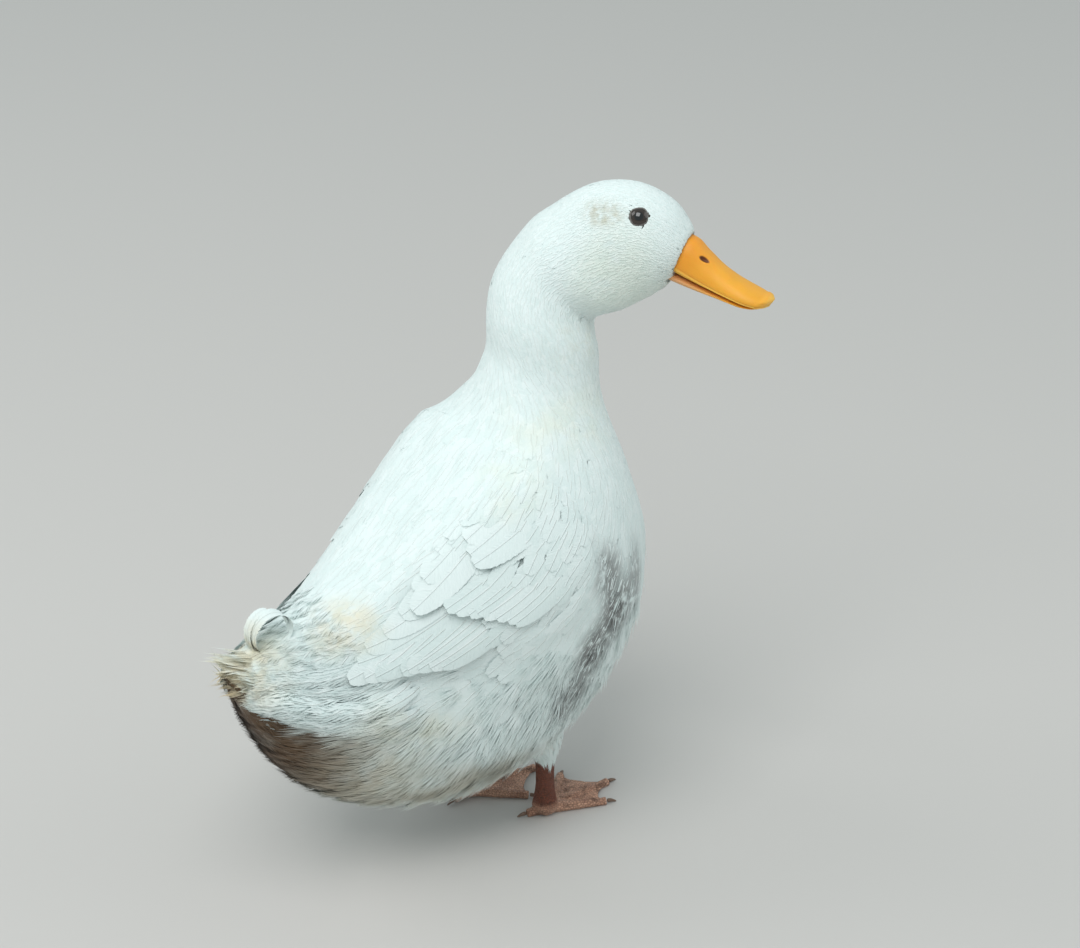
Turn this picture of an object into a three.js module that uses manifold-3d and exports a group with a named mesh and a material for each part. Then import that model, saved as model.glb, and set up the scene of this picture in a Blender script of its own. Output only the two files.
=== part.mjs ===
// A white farm drake, standing, with its head turned to its right.
// Millimetres, +Z up. The duck faces +X and its right side is towards -Y.
// The origin is on the floor, under the middle of the duck's bounding box.
// Every piece is a closed solid of its own, and neighbours keep a thin gap between them.
import * as THREE from "three";
import { mergeVertices } from "three/addons/utils/BufferGeometryUtils.js";
import Module from "manifold-3d";

const wasm = await Module();
wasm.setup();

const V = (x, y, z) => new THREE.Vector3(x, y, z);
const rad = THREE.MathUtils.degToRad;
const lerp = THREE.MathUtils.lerp;
const clamp = THREE.MathUtils.clamp;
const smooth = (x) => THREE.MathUtils.smoothstep(x, 0, 1);

// ---------------------------------------------------------------- driving dimensions

const MIDDLE = V(-40, -9, 0); // of the bounding box, from the point between the hips
const GAP = 0.35; // left between any two pieces
const STAND_OFF = 0.65; // added round the body before other pieces are cut to it
const BILL_LENGTH = 61; // from the feathers' point on the forehead to the tip of the nail
const HEAD_AT = V(106.5, -64, 402); // where the forehead's feathers meet the bill
const HEAD_TURN = -60; // degrees, to the right of the body
const HEAD_DROP = 31; // degrees that the bill slopes down
const HEAD_ROLL = 7; // degrees, the right cheek turned up
const EYE_RADIUS = 6.6;
const SHANK_RADIUS = 6.2;
const TOE_LENGTHS = { inner: 48, middle: 60, outer: 49, hind: 20 }; // with the claw
const CLAW_LENGTH = 7;
const FEATHER_THICKNESS = 1.5; // of one large vane, at its shaft

const COLOURS = {
  plumage: { color: 0xf1efe6, roughness: 0.85 },
  flight: { color: 0xf6f5f0, roughness: 0.7 },
  tail: { color: 0xe9dfc8, roughness: 0.8 },
  bill: { color: 0xf29a22, roughness: 0.42 },
  nail: { color: 0xefc67c, roughness: 0.35 },
  leg: { color: 0xc8653a, roughness: 0.6 },
  claw: { color: 0x4a3a30, roughness: 0.45 },
  eye: { color: 0x14141a, roughness: 0.05 },
};

// ---------------------------------------------------------------- solids from warped primitives

// A closed geometry whose faces point outwards, with its shared points merged.
function closed(geometry) {
  const bare = geometry.clone();
  bare.deleteAttribute("normal");
  bare.deleteAttribute("uv");
  const merged = mergeVertices(bare, 1e-3);
  const p = merged.getAttribute("position");
  const index = Array.from(merged.getIndex().array);
  const triangles = [];
  let volume = 0;
  for (let i = 0; i < index.length; i += 3) {
    const [a, b, c] = index.slice(i, i + 3);
    if (a === b || b === c || c === a) continue;
    triangles.push(a, b, c);
    const [pa, pb, pc] = [a, b, c].map((k) => V(0, 0, 0).fromBufferAttribute(p, k));
    volume += pa.dot(pb.cross(pc));
  }
  if (volume < 0)
    for (let i = 0; i < triangles.length; i += 3)
      [triangles[i + 1], triangles[i + 2]] = [triangles[i + 2], triangles[i + 1]];
  merged.setIndex(triangles);
  return merged;
}

// Moves each point of a primitive to where place(point) says.
function warp(geometry, place) {
  const p = geometry.getAttribute("position");
  for (let i = 0; i < p.count; i++) {
    const moved = place(V(0, 0, 0).fromBufferAttribute(p, i));
    p.setXYZ(i, moved.x, moved.y, moved.z);
  }
  return closed(geometry);
}

const solidOf = (geometry) =>
  new wasm.Manifold(
    new wasm.Mesh({
      numProp: 3,
      vertProperties: new Float32Array(geometry.getAttribute("position").array),
      triVerts: new Uint32Array(geometry.getIndex().array),
    }),
  );

function geometryOf(solid) {
  const mesh = solid.getMesh();
  return new THREE.BufferGeometry()
    .setAttribute("position", new THREE.BufferAttribute(mesh.vertProperties, 3))
    .setIndex(new THREE.BufferAttribute(mesh.triVerts, 1));
}

const union = (geometries) =>
  geometries.map(solidOf).reduce((whole, piece) => whole.add(piece));

// The largest body of a solid, without the crumbs that a cut can leave.
const largest = (solid) =>
  solid.decompose().reduce((a, b) => (a.volume() > b.volume() ? a : b));

// The same shape made larger about its middle.
function swollen(geometry, scale) {
  geometry.computeBoundingBox();
  const middle = geometry.boundingBox.getCenter(V(0, 0, 0));
  return geometry
    .translate(-middle.x, -middle.y, -middle.z)
    .scale(scale, scale, scale)
    .translate(middle.x, middle.y, middle.z);
}

// ---------------------------------------------------------------- lofts through rings

// A ring has a top and a bottom point, a half width, the level of its widest place from the
// bottom (0) to the top (1), and a squareness, where 2 is an ellipse.
const ring = (top, bottom, half, level = 0.5, square = 2) => ({ top, bottom, half, level, square });

// The same curves run through every ring: its top, bottom, shape numbers and left side.
function skinOf(rings) {
  const last = rings.length - 1;
  const middle = (i) => rings[clamp(i, 0, last)].top.clone().lerp(rings[clamp(i, 0, last)].bottom, 0.5);
  const sideOf = (r, i) =>
    r.top.clone().sub(r.bottom).cross(middle(i + 1).sub(middle(i - 1))).normalize();
  const curve = (points) => new THREE.CatmullRomCurve3(points);
  return {
    top: curve(rings.map((r) => r.top)),
    bottom: curve(rings.map((r) => r.bottom)),
    shape: curve(rings.map((r) => V(r.half, r.level, r.square))),
    side: curve(rings.map(sideOf)),
    last,
  };
}

const bent = (value, power) => Math.sign(value) * Math.abs(value) ** power;

// The frame of the ring at t, where t counts rings from 0 at the first.
function frameAt(skin, t) {
  const u = clamp(t / skin.last, 0, 1);
  const top = skin.top.getPoint(u);
  const bottom = skin.bottom.getPoint(u);
  const shape = skin.shape.getPoint(u);
  const centre = bottom.clone().lerp(top, shape.y);
  const up = top.clone().sub(bottom).normalize();
  const side = skin.side.getPoint(u); // the duck's left
  side.addScaledVector(up, -side.dot(up)).normalize();
  return { top, bottom, shape, centre, up, side, ahead: side.clone().cross(up).normalize() };
}

// A point on the skin: t counts rings, angle runs from the top round the duck's left side.
function onSkin(skin, t, angle) {
  const f = frameAt(skin, t);
  const power = 2 / f.shape.z;
  const c = bent(Math.cos(angle), power);
  const s = bent(Math.sin(angle), power);
  const reach = f.centre.distanceTo(c > 0 ? f.top : f.bottom);
  return f.centre.addScaledVector(f.up, c * reach).addScaledVector(f.side, s * f.shape.x);
}

// The same point, raised from the skin by a height.
function skinPoint(skin, t, angle, height = 0) {
  const point = onSkin(skin, t, angle);
  if (height === 0) return point;
  const step = 0.02;
  const round = onSkin(skin, t, angle + step).sub(onSkin(skin, t, angle - step));
  const along = onSkin(skin, t + step, angle).sub(onSkin(skin, t - step, angle));
  const normal = round.cross(along).normalize();
  const outwards = point.clone().sub(frameAt(skin, t).centre).dot(normal);
  return point.addScaledVector(normal, Math.sign(outwards) * height);
}

// A stretch of skin from ring t0 to ring t1, closed by flat ends that stand back by the gap.
function tube(skin, t0, t1, around, along, grow = 0, gap = GAP / 2) {
  const primitive = new THREE.CylinderGeometry(1, 1, 1, around, along);
  return warp(primitive, (p) => {
    const t = lerp(t0, t1, p.y + 0.5);
    const f = frameAt(skin, t);
    const spoke = skinPoint(skin, t, Math.atan2(p.x, p.z), grow).sub(f.centre);
    const end = Math.abs(p.y) < 0.499 ? 0 : -Math.sign(p.y) * gap;
    return f.centre
      .clone()
      .addScaledVector(spoke, Math.hypot(p.x, p.z))
      .addScaledVector(f.ahead, end);
  });
}

// ---------------------------------------------------------------- body outline

// The head has its own axes, with their origin where the forehead's feathers meet the bill:
// f runs along the bill, u up from it and r to the duck's right.
const headTurn = new THREE.Matrix4()
  .makeRotationZ(rad(HEAD_TURN))
  .multiply(new THREE.Matrix4().makeRotationY(rad(HEAD_DROP)))
  .multiply(new THREE.Matrix4().makeRotationX(rad(-HEAD_ROLL)));
const inHead = (f, u, r = 0) => V(f, -r, u).applyMatrix4(headTurn).add(HEAD_AT);

// A level ring of the neck, turned part of the way to the head.
function neckRing(centre, turn, lean, depth, half) {
  const back = V(-Math.cos(rad(lean)), 0, Math.sin(rad(lean))).applyAxisAngle(V(0, 0, 1), rad(turn));
  const top = centre.clone().addScaledVector(back, depth);
  const bottom = centre.clone().addScaledVector(back, -depth);
  return ring(top, bottom, half);
}

const sagittal = (xTop, zTop, xBottom, zBottom, half, level, square) =>
  ring(V(xTop, 0, zTop), V(xBottom, 0, zBottom), half, level, square);

const BODY_RINGS = [
  sagittal(-205, 176, -205, 172, 2, 0.5, 2),
  sagittal(-186, 186, -196, 138, 19, 0.55, 2.1),
  sagittal(-152, 198, -165, 83, 37, 0.52, 2.1),
  sagittal(-114, 217, -118, 48, 57, 0.48, 2.2),
  sagittal(-76, 242, -66, 34, 74, 0.48, 2.25),
  sagittal(-44, 265, -5, 44, 84, 0.5, 2.2),
  sagittal(-23, 282, 49, 75, 86, 0.53, 2.15),
  sagittal(-13, 292, 85, 119, 81, 0.54, 2.1),
  sagittal(-6, 302, 99, 172, 69, 0.52, 2),
  sagittal(-1, 311, 89, 227, 53, 0.5, 2),
  neckRing(V(38.5, 1.5, 303), -7, 28, 39.5, 41.5),
  neckRing(V(39.5, 4, 329), -24, 22, 36, 36),
  neckRing(V(45, 9, 348), -45, 31, 34.5, 34),
  ring(inHead(-88, -62), inHead(-24, -85), 32.5),
  ring(inHead(-84, -45), inHead(-11, -66), 31),
  ring(inHead(-77, -26), inHead(-4, -55), 28.5),
  ring(inHead(-66, -9.5), inHead(-1, -49), 26.5),
  ring(inHead(-49, 3), inHead(1, -43.5), 25),
  ring(inHead(-31, 7.4), inHead(2.5, -39.5), 22.5),
  ring(inHead(-15, 6), inHead(3.2, -35), 18.5),
  ring(inHead(-4, 1.2), inHead(3.8, -30.5), 13.5),
  ring(inHead(0, -12), inHead(3.2, -20), 5),
];

const body = skinOf(BODY_RINGS);

// The stretches that the body is parted into, by ring, with their divisions.
const BODY_PIECES = {
  rump: { from: 0, to: 2, around: 20, along: 4 },
  trunk: { from: 2, to: 9.4, around: 26, along: 15 },
  neck: { from: 9.4, to: 14.2, around: 22, along: 11 },
  head: { from: 14.2, to: 21, around: 24, along: 12 },
};

function bodyPiece(name, grow = 0) {
  const { from, to, around, along } = BODY_PIECES[name];
  return tube(body, from, to, around, along, grow, grow ? -grow : GAP / 2);
}

// ---------------------------------------------------------------- large feathers

// How wide a vane is at s along it, as a share of its widest.
const vane = (s) => Math.sqrt(1 - (0.985 * s) ** 5) * lerp(0.5, 1, smooth(s / 0.4));

// A vane along a shaft: at(s) is the shaft's line, normalAt(s) the way its upper face looks.
function blade(at, normalAt, halfWidth, { steps = 3, sag = 2, thickness = FEATHER_THICKNESS } = {}) {
  const primitive = new THREE.BoxGeometry(1, 1, 1, steps, 2, 1);
  return warp(primitive, (p) => {
    const s = p.x + 0.5;
    const q = p.y * 2;
    const step = 0.02;
    const along = at(Math.min(s + step, 1)).sub(at(Math.max(s - step, 0))).normalize();
    const normal = normalAt(s);
    const side = normal.clone().cross(along).normalize();
    const thick = p.z * thickness * (1 - 0.4 * q * q);
    return at(s)
      .addScaledVector(side, q * halfWidth * vane(s))
      .addScaledVector(normal, thick - sag * q * q);
  });
}

// A feather that lies on the body from root to tip, each given as ring, angle and height.
function bodyFeather(root, tip, halfWidth, options) {
  const put = (s, extra) =>
    skinPoint(
      body,
      lerp(root[0], tip[0], s),
      rad(lerp(root[1], tip[1], s)),
      lerp(root[2], tip[2], s) + extra,
    );
  return blade(
    (s) => put(s, 0),
    (s) => put(s, 8).sub(put(s, -8)).normalize(),
    halfWidth,
    options,
  );
}

// ---------------------------------------------------------------- pieces

const model = new THREE.Group();
model.position.copy(MIDDLE).negate();

function add(name, geometry, look) {
  const mesh = new THREE.Mesh(geometry, new THREE.MeshStandardMaterial({ metalness: 0, ...look }));
  mesh.name = name;
  model.add(mesh);
}

const SIDES = [
  { name: "left", sign: 1 },
  { name: "right", sign: -1 },
];

const cutter = union(Object.keys(BODY_PIECES).map((name) => bodyPiece(name, STAND_OFF)));
const outside = (geometries) => largest(union(geometries).subtract(cutter));

// The folded wing's shell, from the wrist (s = 0) to the ends of its coverts (s = 1).
const WING_FRONT = 7.0;
const WING_REAR = 3.3;
const WING_DOME = 8.4;
const WING_EDGE = 3.2;
const through = (...values) => {
  const curve = new THREE.SplineCurve(values.map((v, i) => new THREE.Vector2(i, v)));
  return (s) => curve.getPoint(clamp(s, 0, 1)).y;
};
const wingUpper = through(54, 27, 19, 17, 18, 24);
const wingLower = through(68, 86, 88, 83, 78, 72);
const wingRise = through(0, 0.75, 1, 0.8, 0.5, 0.25);

function wingShell(sign) {
  const primitive = new THREE.BoxGeometry(1, 1, 1, 9, 6, 1);
  return warp(primitive, (p) => {
    const s = (p.x + 0.5) ** 1.6; // closer together at the wrist
    const q = p.y * 2;
    const angle = lerp(wingUpper(s), wingLower(s), q / 2 + 0.5);
    const dome = WING_EDGE + WING_DOME * wingRise(s) * (1 - q * q) ** 0.7;
    const height = p.z > 0 ? dome : -WING_EDGE;
    return skinPoint(body, lerp(WING_FRONT, WING_REAR, s), sign * rad(angle), height);
  });
}

// Root and tip of each long feather of the folded wing, and half its width.
const WING_FEATHERS = [
  [[4.9, 79, 5], [4.1, 82, 3.4], 11],
  [[4.6, 75, 5], [3.45, 80, 3.4], 11],
  [[4.3, 70, 5], [2.8, 78, 3.6], 10],
  [[4.1, 64, 5], [2.2, 74, 4.4], 10],
  [[4.1, 56, 5.4], [2.3, 61, 5.2], 12],
  [[4.1, 46, 5.8], [2.65, 50, 5], 13],
  [[4.2, 36, 5.8], [2.95, 39, 5], 13],
  [[4.3, 26, 5.4], [3.1, 28, 4.6], 12],
];

function wing(sign) {
  const mirrored = ([t, angle, lift]) => [t, sign * angle, lift];
  const feathers = WING_FEATHERS.map(([root, tip, half]) =>
    bodyFeather(mirrored(root), mirrored(tip), half, { sag: 1.4 }),
  );
  return outside([wingShell(sign), ...feathers]);
}

// The tail's stiff feathers make an arched fan, cocked up.
const TAIL_FEATHERS = 8;
function tail() {
  const feathers = [];
  for (let i = 0; i < TAIL_FEATHERS; i++) {
    const k = (2 * i) / (TAIL_FEATHERS - 1) - 1;
    const root = V(-168, 16 * k, 172 - 26 * k * k);
    const tip = V(-217 + 12 * k * k, 24 * k, 189 - 14 * k * k);
    const bowed = (s) => root.clone().lerp(tip, s).add(V(0, 0, 2.5 * s * s));
    const tilt = V(0.25, Math.sin(rad(48 * k)), Math.cos(rad(48 * k))).normalize();
    feathers.push(blade(bowed, () => tilt, 10, { steps: 3, sag: 1.2 }));
  }
  return outside(feathers);
}

// The drake's curled feather: back along the tail's root, then up and over forwards.
const CURL_AT = V(-176, -1, 197);
const CURL_RADIUS = 15;
function curl() {
  const at = (s) => {
    const turn = rad(lerp(-125, 215, s));
    const radius = CURL_RADIUS * lerp(1.08, 0.72, s);
    return CURL_AT.clone().add(V(-radius * Math.sin(turn + rad(90)), -6 * s, 0)).add(
      V(0, 0, -radius * Math.cos(turn + rad(90))),
    );
  };
  const normalAt = (s) => at(s).sub(CURL_AT).setY(0).normalize().negate();
  return outside([blade(at, normalAt, 6, { steps: 12, sag: 0.5 })]);
}

// ---------------------------------------------------------------- bill

// Rings of the bill in the head's axes: f as a share of the bill, top, bottom, half width.
const UPPER_RINGS = [
  [-0.22, -6, -27, 10],
  [-0.1, -2.5, -26.5, 11.6],
  [0.03, -0.8, -25.5, 12],
  [0.19, -2.9, -23.8, 11.6],
  [0.38, -4.8, -21, 11.8],
  [0.57, -5.2, -17.8, 12.6],
  [0.76, -4.2, -14.2, 13.4],
  [0.89, -2.8, -11.2, 12.4],
  [0.96, -1.8, -9, 8.5],
  [1, -2.2, -7, 2.5],
];
const LOWER_RINGS = [
  [-0.22, -27.4, -35, 8.5],
  [-0.06, -27, -33, 10],
  [0.13, -25, -30, 10.2],
  [0.32, -22.4, -26.4, 10.2],
  [0.54, -18.8, -21.6, 10.8],
  [0.76, -14.8, -17, 11.4],
  [0.87, -12.2, -14, 9.6],
  [0.935, -10.8, -12, 5],
];

function billHalf(rings, level, around, grow = 0) {
  const skin = skinOf(
    rings.map(([share, top, bottom, half]) => {
      const f = share * BILL_LENGTH;
      return ring(inHead(f, top), inHead(f, bottom), half, level, 2.5);
    }),
  );
  return tube(skin, 0, skin.last, around, 10, grow, grow ? -grow : 0);
}

const EYE_RING = 17.3;
const EYE_ANGLE = 52.5;
const EYE_SUNK = 3.9;
const eyeAt = (sign) => skinPoint(body, EYE_RING, sign * rad(EYE_ANGLE), -EYE_SUNK);
const ball = (centre, radius, across = 12, down = 8) =>
  closed(new THREE.SphereGeometry(radius, across, down).translate(...centre.toArray()));

// ---------------------------------------------------------------- legs

const LEGS = {
  right: { sign: -1, ankle: V(9, -38, 0), turn: -1, cuff: 50 },
  left: { sign: 1, ankle: V(-19, 10, 0), turn: -6, cuff: 31 },
};
const ANKLE_HEIGHT = 13;
const SHANK_LEAN = V(-0.08, 0.1, 1); // of the shank as it rises, backwards and outwards

// A round limb through centres with radii, closed by flat ends.
function limb(stations, around, along, { flat = -Infinity, start = 0 } = {}) {
  const centres = new THREE.CatmullRomCurve3(stations.map(([centre]) => centre));
  const radii = new THREE.CatmullRomCurve3(stations.map(([, wide, deep]) => V(wide, deep, 0)));
  const primitive = new THREE.CylinderGeometry(1, 1, 1, around, along, false, start);
  return warp(primitive, (p) => {
    const u = clamp(p.y + 0.5, 0, 1);
    const centre = centres.getPoint(u);
    const radius = radii.getPoint(u);
    const ahead = centres.getTangent(u);
    const side = Math.abs(ahead.z) > 0.7 ? V(0, 1, 0) : V(0, 0, 1).cross(ahead).normalize();
    const other = ahead.clone().cross(side).normalize();
    const point = centre
      .addScaledVector(side, p.x * radius.x)
      .addScaledVector(other, p.z * radius.y);
    return V(point.x, point.y, Math.max(point.z, flat));
  });
}

// A point of the foot, from the ankle: reach and bearing on the floor, and height.
const footPoint = (leg, reach, bearing, height) =>
  V(Math.cos(rad(bearing + leg.turn)), Math.sin(rad(bearing + leg.turn)), 0)
    .multiplyScalar(reach)
    .add(leg.ankle)
    .setZ(height);

const TOES = [
  { name: "inner", bearing: 38, length: TOE_LENGTHS.inner, joints: 2 },
  { name: "middle", bearing: 0, length: TOE_LENGTHS.middle, joints: 3 },
  { name: "outer", bearing: -24, length: TOE_LENGTHS.outer, joints: 4 },
  { name: "hind", bearing: 165, length: TOE_LENGTHS.hind, joints: 1 },
];
const bearingOf = (leg, toe) => -leg.sign * toe.bearing;

// A toe lies low enough for its sole to be flat on the floor.
const TOE_SQUASH = 0.72;

function toeSolid(leg, toe) {
  const stations = [];
  const steps = 2 * toe.joints;
  for (let i = 0; i <= steps; i++) {
    const s = i / steps;
    const radius = lerp(4.8, 3, s) * (i % 2 ? 0.9 : 1.06);
    const reach = lerp(2, toe.length - CLAW_LENGTH, s);
    const centre = footPoint(leg, reach, bearingOf(leg, toe), TOE_SQUASH * radius);
    stations.push([centre, radius, radius]);
  }
  return limb(stations, 6, steps, { flat: 0, start: rad(30) });
}

function clawSolid(leg, toe) {
  const at = (reach, height) =>
    footPoint(leg, toe.length - CLAW_LENGTH + reach, bearingOf(leg, toe), height);
  return limb(
    [
      [at(2 * GAP, 2.7), 1.9, 1.9],
      [at(CLAW_LENGTH * 0.55, 2.6), 1.4, 1.5],
      [at(CLAW_LENGTH, 1.2), 0.5, 0.6],
    ],
    5,
    2,
    { flat: 0 },
  );
}

// The web spans the three front toes, with a hollow edge between each pair.
function webSolid(leg) {
  const front = TOES.slice(0, 3);
  const primitive = new THREE.BoxGeometry(1, 1, 1, 6, 2, 1);
  return warp(primitive, (p) => {
    const across = (p.x + 0.5) * 2;
    const pair = Math.min(Math.floor(across), 1);
    const share = across - pair;
    const reach = lerp(front[pair].length, front[pair + 1].length, share) - CLAW_LENGTH - 1;
    const hollow = 1 - 0.17 * Math.sin(Math.PI * share);
    const bearing = lerp(bearingOf(leg, front[pair]), bearingOf(leg, front[pair + 1]), share);
    const distance = lerp(5, reach * hollow, p.y + 0.5);
    const rise = 2.2 * (1 - (p.y + 0.5)) + 0.9 * Math.sin(Math.PI * share);
    return footPoint(leg, distance, bearing, 1.1 + rise + (p.z + 0.5) * 1.6);
  });
}

const onShank = (leg, height) =>
  leg.ankle.clone().addScaledVector(SHANK_LEAN.clone().setY(leg.sign * SHANK_LEAN.y), height);

function shank(leg, grow = 0) {
  const at = (height, wide, deep) => [onShank(leg, height), wide + grow, deep + grow];
  return limb(
    [
      at(ANKLE_HEIGHT - grow, 8.6, 7.6),
      at(lerp(ANKLE_HEIGHT, leg.cuff, 0.3), SHANK_RADIUS + 0.4, SHANK_RADIUS),
      at(lerp(ANKLE_HEIGHT, leg.cuff, 0.7), SHANK_RADIUS + 0.2, SHANK_RADIUS),
      at(leg.cuff + 6, SHANK_RADIUS + 1.4, SHANK_RADIUS + 1),
    ],
    12,
    5,
  );
}

function thigh(leg) {
  const hip = V(leg.ankle.x * 0.35 - 2, leg.sign * 37, leg.cuff + 50);
  const at = (s) => onShank(leg, leg.cuff).lerp(hip, s);
  return limb(
    [
      [at(0), 9.5, 9.5],
      [at(0.15), 12.5, 13.5],
      [at(0.5), 17, 20],
      [at(1), 21, 26],
    ],
    12,
    4,
  );
}

function foot(leg) {
  const knob = ball(leg.ankle.clone().setZ(7.5), 9, 10, 6);
  const p = knob.getAttribute("position");
  for (let i = 0; i < p.count; i++) p.setZ(i, clamp(p.getZ(i), 0.4, ANKLE_HEIGHT - GAP));
  const toes = TOES.map((toe) => toeSolid(leg, toe));
  return union([closed(knob), webSolid(leg), ...toes]).subtract(solidOf(shank(leg, GAP)));
}

// ---------------------------------------------------------------- the duck

add("rump", bodyPiece("rump"), COLOURS.plumage);
add("trunk", bodyPiece("trunk"), COLOURS.plumage);
add("neck", bodyPiece("neck"), COLOURS.plumage);

const sockets = SIDES.map(({ sign }) => ball(eyeAt(sign), EYE_RADIUS + GAP));
add("head", geometryOf(solidOf(bodyPiece("head")).subtract(union(sockets))), COLOURS.plumage);

for (const side of SIDES) {
  add(`eye_${side.name}`, ball(eyeAt(side.sign), EYE_RADIUS), COLOURS.eye);
  add(`wing_${side.name}`, geometryOf(wing(side.sign)), COLOURS.flight);
}

add("tail", geometryOf(tail()), COLOURS.tail);
add("tail_curl", geometryOf(curl()), COLOURS.tail);

const face = solidOf(swollen(bodyPiece("head"), 1.02));
const upperBill = solidOf(billHalf(UPPER_RINGS, 0.3, 14));
const upperRoom = solidOf(billHalf(UPPER_RINGS, 0.3, 14, GAP));
const lowerBill = solidOf(billHalf(LOWER_RINGS, 0.7, 12));
add("bill_upper", geometryOf(largest(upperBill.subtract(face))), COLOURS.bill);
add("bill_lower", geometryOf(largest(lowerBill.subtract(face.add(upperRoom)))), COLOURS.bill);

for (const [name, leg] of Object.entries(LEGS)) {
  const thighSolid = solidOf(thigh(leg));
  const cuffed = largest(thighSolid.subtract(cutter).subtract(solidOf(shank(leg, GAP))));
  add(`thigh_${name}`, geometryOf(cuffed), COLOURS.plumage);
  add(`shank_${name}`, geometryOf(outside([shank(leg)])), COLOURS.leg);
  add(`foot_${name}`, geometryOf(foot(leg)), COLOURS.leg);
  for (const toe of TOES)
    add(`claw_${toe.name}_${name}`, clawSolid(leg, toe), COLOURS.claw);
}

export default model;
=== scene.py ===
"""A white farm drake, dressed over its solid model: skin, plumage, bill, eyes, legs and claws.

Lengths are metres in the frame's own axes: the duck faces +X, its left is +Y, and it stands on
Z = 0. Named sizes that end in _MM, and the rings of the outline, are millimetres.
"""

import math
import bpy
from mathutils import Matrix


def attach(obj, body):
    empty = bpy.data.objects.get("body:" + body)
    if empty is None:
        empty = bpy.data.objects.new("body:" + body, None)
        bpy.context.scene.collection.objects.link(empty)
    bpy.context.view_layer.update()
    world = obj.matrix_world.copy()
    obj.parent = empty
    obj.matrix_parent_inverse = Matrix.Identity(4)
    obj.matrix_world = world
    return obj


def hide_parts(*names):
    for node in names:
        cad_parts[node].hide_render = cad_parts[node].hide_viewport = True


bl_info = {
    "name": "White farm drake",
    "version": (1, 0, 0),
    "blender": (4, 5, 0),
    "location": "View3D > Sidebar > Drake",
    "description": "Dresses the solid model of a drake in skin, feathers, bill, eyes and feet",
    "category": "Object",
}

import bpy
import numpy as np
from bpy.props import FloatProperty, FloatVectorProperty, PointerProperty
from mathutils import Vector
from mathutils.kdtree import KDTree

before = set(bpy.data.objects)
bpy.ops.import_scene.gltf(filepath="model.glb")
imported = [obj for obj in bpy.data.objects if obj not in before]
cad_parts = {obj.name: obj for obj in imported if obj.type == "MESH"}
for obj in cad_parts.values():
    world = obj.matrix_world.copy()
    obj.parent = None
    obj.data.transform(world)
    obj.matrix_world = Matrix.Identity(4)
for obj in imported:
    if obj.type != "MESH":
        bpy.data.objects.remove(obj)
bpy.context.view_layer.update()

MM = 0.001

# ---- outline of the body

MIDDLE_MM = (-40.0, -9.0, 0.0)  # the frame's origin, from the point between the hips
HEAD_AT = (106.5, -64.0, 402.0)  # where the forehead's feathers meet the bill
HEAD_TURN, HEAD_DROP, HEAD_ROLL = -60, 31, -7  # degrees
BILL_LENGTH = 61.0
EYE_RING, EYE_ANGLE, EYE_SUNK_MM, EYE_RADIUS_MM = 17.3, 52.5, 3.9, 6.6


def turn(axis, degrees):
    """The matrix of a turn about x, y or z."""
    c, s = math.cos(math.radians(degrees)), math.sin(math.radians(degrees))
    i, j = {"x": (1, 2), "y": (2, 0), "z": (0, 1)}[axis]
    matrix = np.eye(3)
    matrix[i, i] = matrix[j, j] = c
    matrix[i, j], matrix[j, i] = -s, s
    return matrix


HEAD_AXES = turn("z", HEAD_TURN) @ turn("y", HEAD_DROP) @ turn("x", HEAD_ROLL)


def in_head(ahead, above, right=0.0):
    """A point in the head's own axes, in millimetres from where the bill meets the feathers."""
    return np.array(HEAD_AT) + HEAD_AXES @ np.array([ahead, -right, above])


def sagittal(x_top, z_top, x_bottom, z_bottom, half, level, square):
    return (x_top, 0, z_top), (x_bottom, 0, z_bottom), (half, level, square)


def neck_ring(centre, heading, lean, depth, half):
    tilt = math.radians(lean)
    back = turn("z", heading) @ np.array([-math.cos(tilt), 0, math.sin(tilt)])
    return np.array(centre) + back * depth, np.array(centre) - back * depth, (half, 0.5, 2)


def head_ring(top, bottom, half):
    return in_head(*top), in_head(*bottom), (half, 0.5, 2)


# Top point, bottom point, and half width, level of the widest place and squareness.
BODY_RINGS = [
    sagittal(-205, 176, -205, 172, 2, 0.5, 2),
    sagittal(-186, 186, -196, 138, 19, 0.55, 2.1),
    sagittal(-152, 198, -165, 83, 37, 0.52, 2.1),
    sagittal(-114, 217, -118, 48, 57, 0.48, 2.2),
    sagittal(-76, 242, -66, 34, 74, 0.48, 2.25),
    sagittal(-44, 265, -5, 44, 84, 0.5, 2.2),
    sagittal(-23, 282, 49, 75, 86, 0.53, 2.15),
    sagittal(-13, 292, 85, 119, 81, 0.54, 2.1),
    sagittal(-6, 302, 99, 172, 69, 0.52, 2),
    sagittal(-1, 311, 89, 227, 53, 0.5, 2),
    neck_ring((38.5, 1.5, 303), -7, 28, 39.5, 41.5),
    neck_ring((39.5, 4, 329), -24, 22, 36, 36),
    neck_ring((45, 9, 348), -45, 31, 34.5, 34),
    head_ring((-88, -62), (-24, -85), 32.5),
    head_ring((-84, -45), (-11, -66), 31),
    head_ring((-77, -26), (-4, -55), 28.5),
    head_ring((-66, -9.5), (-1, -49), 26.5),
    head_ring((-49, 3), (1, -43.5), 25),
    head_ring((-31, 7.4), (2.5, -39.5), 22.5),
    head_ring((-15, 6), (3.2, -35), 18.5),
    head_ring((-4, 1.2), (3.8, -30.5), 13.5),
    head_ring((0, -12), (3.2, -20), 5),
]
LAST_RING = len(BODY_RINGS) - 1

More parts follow.
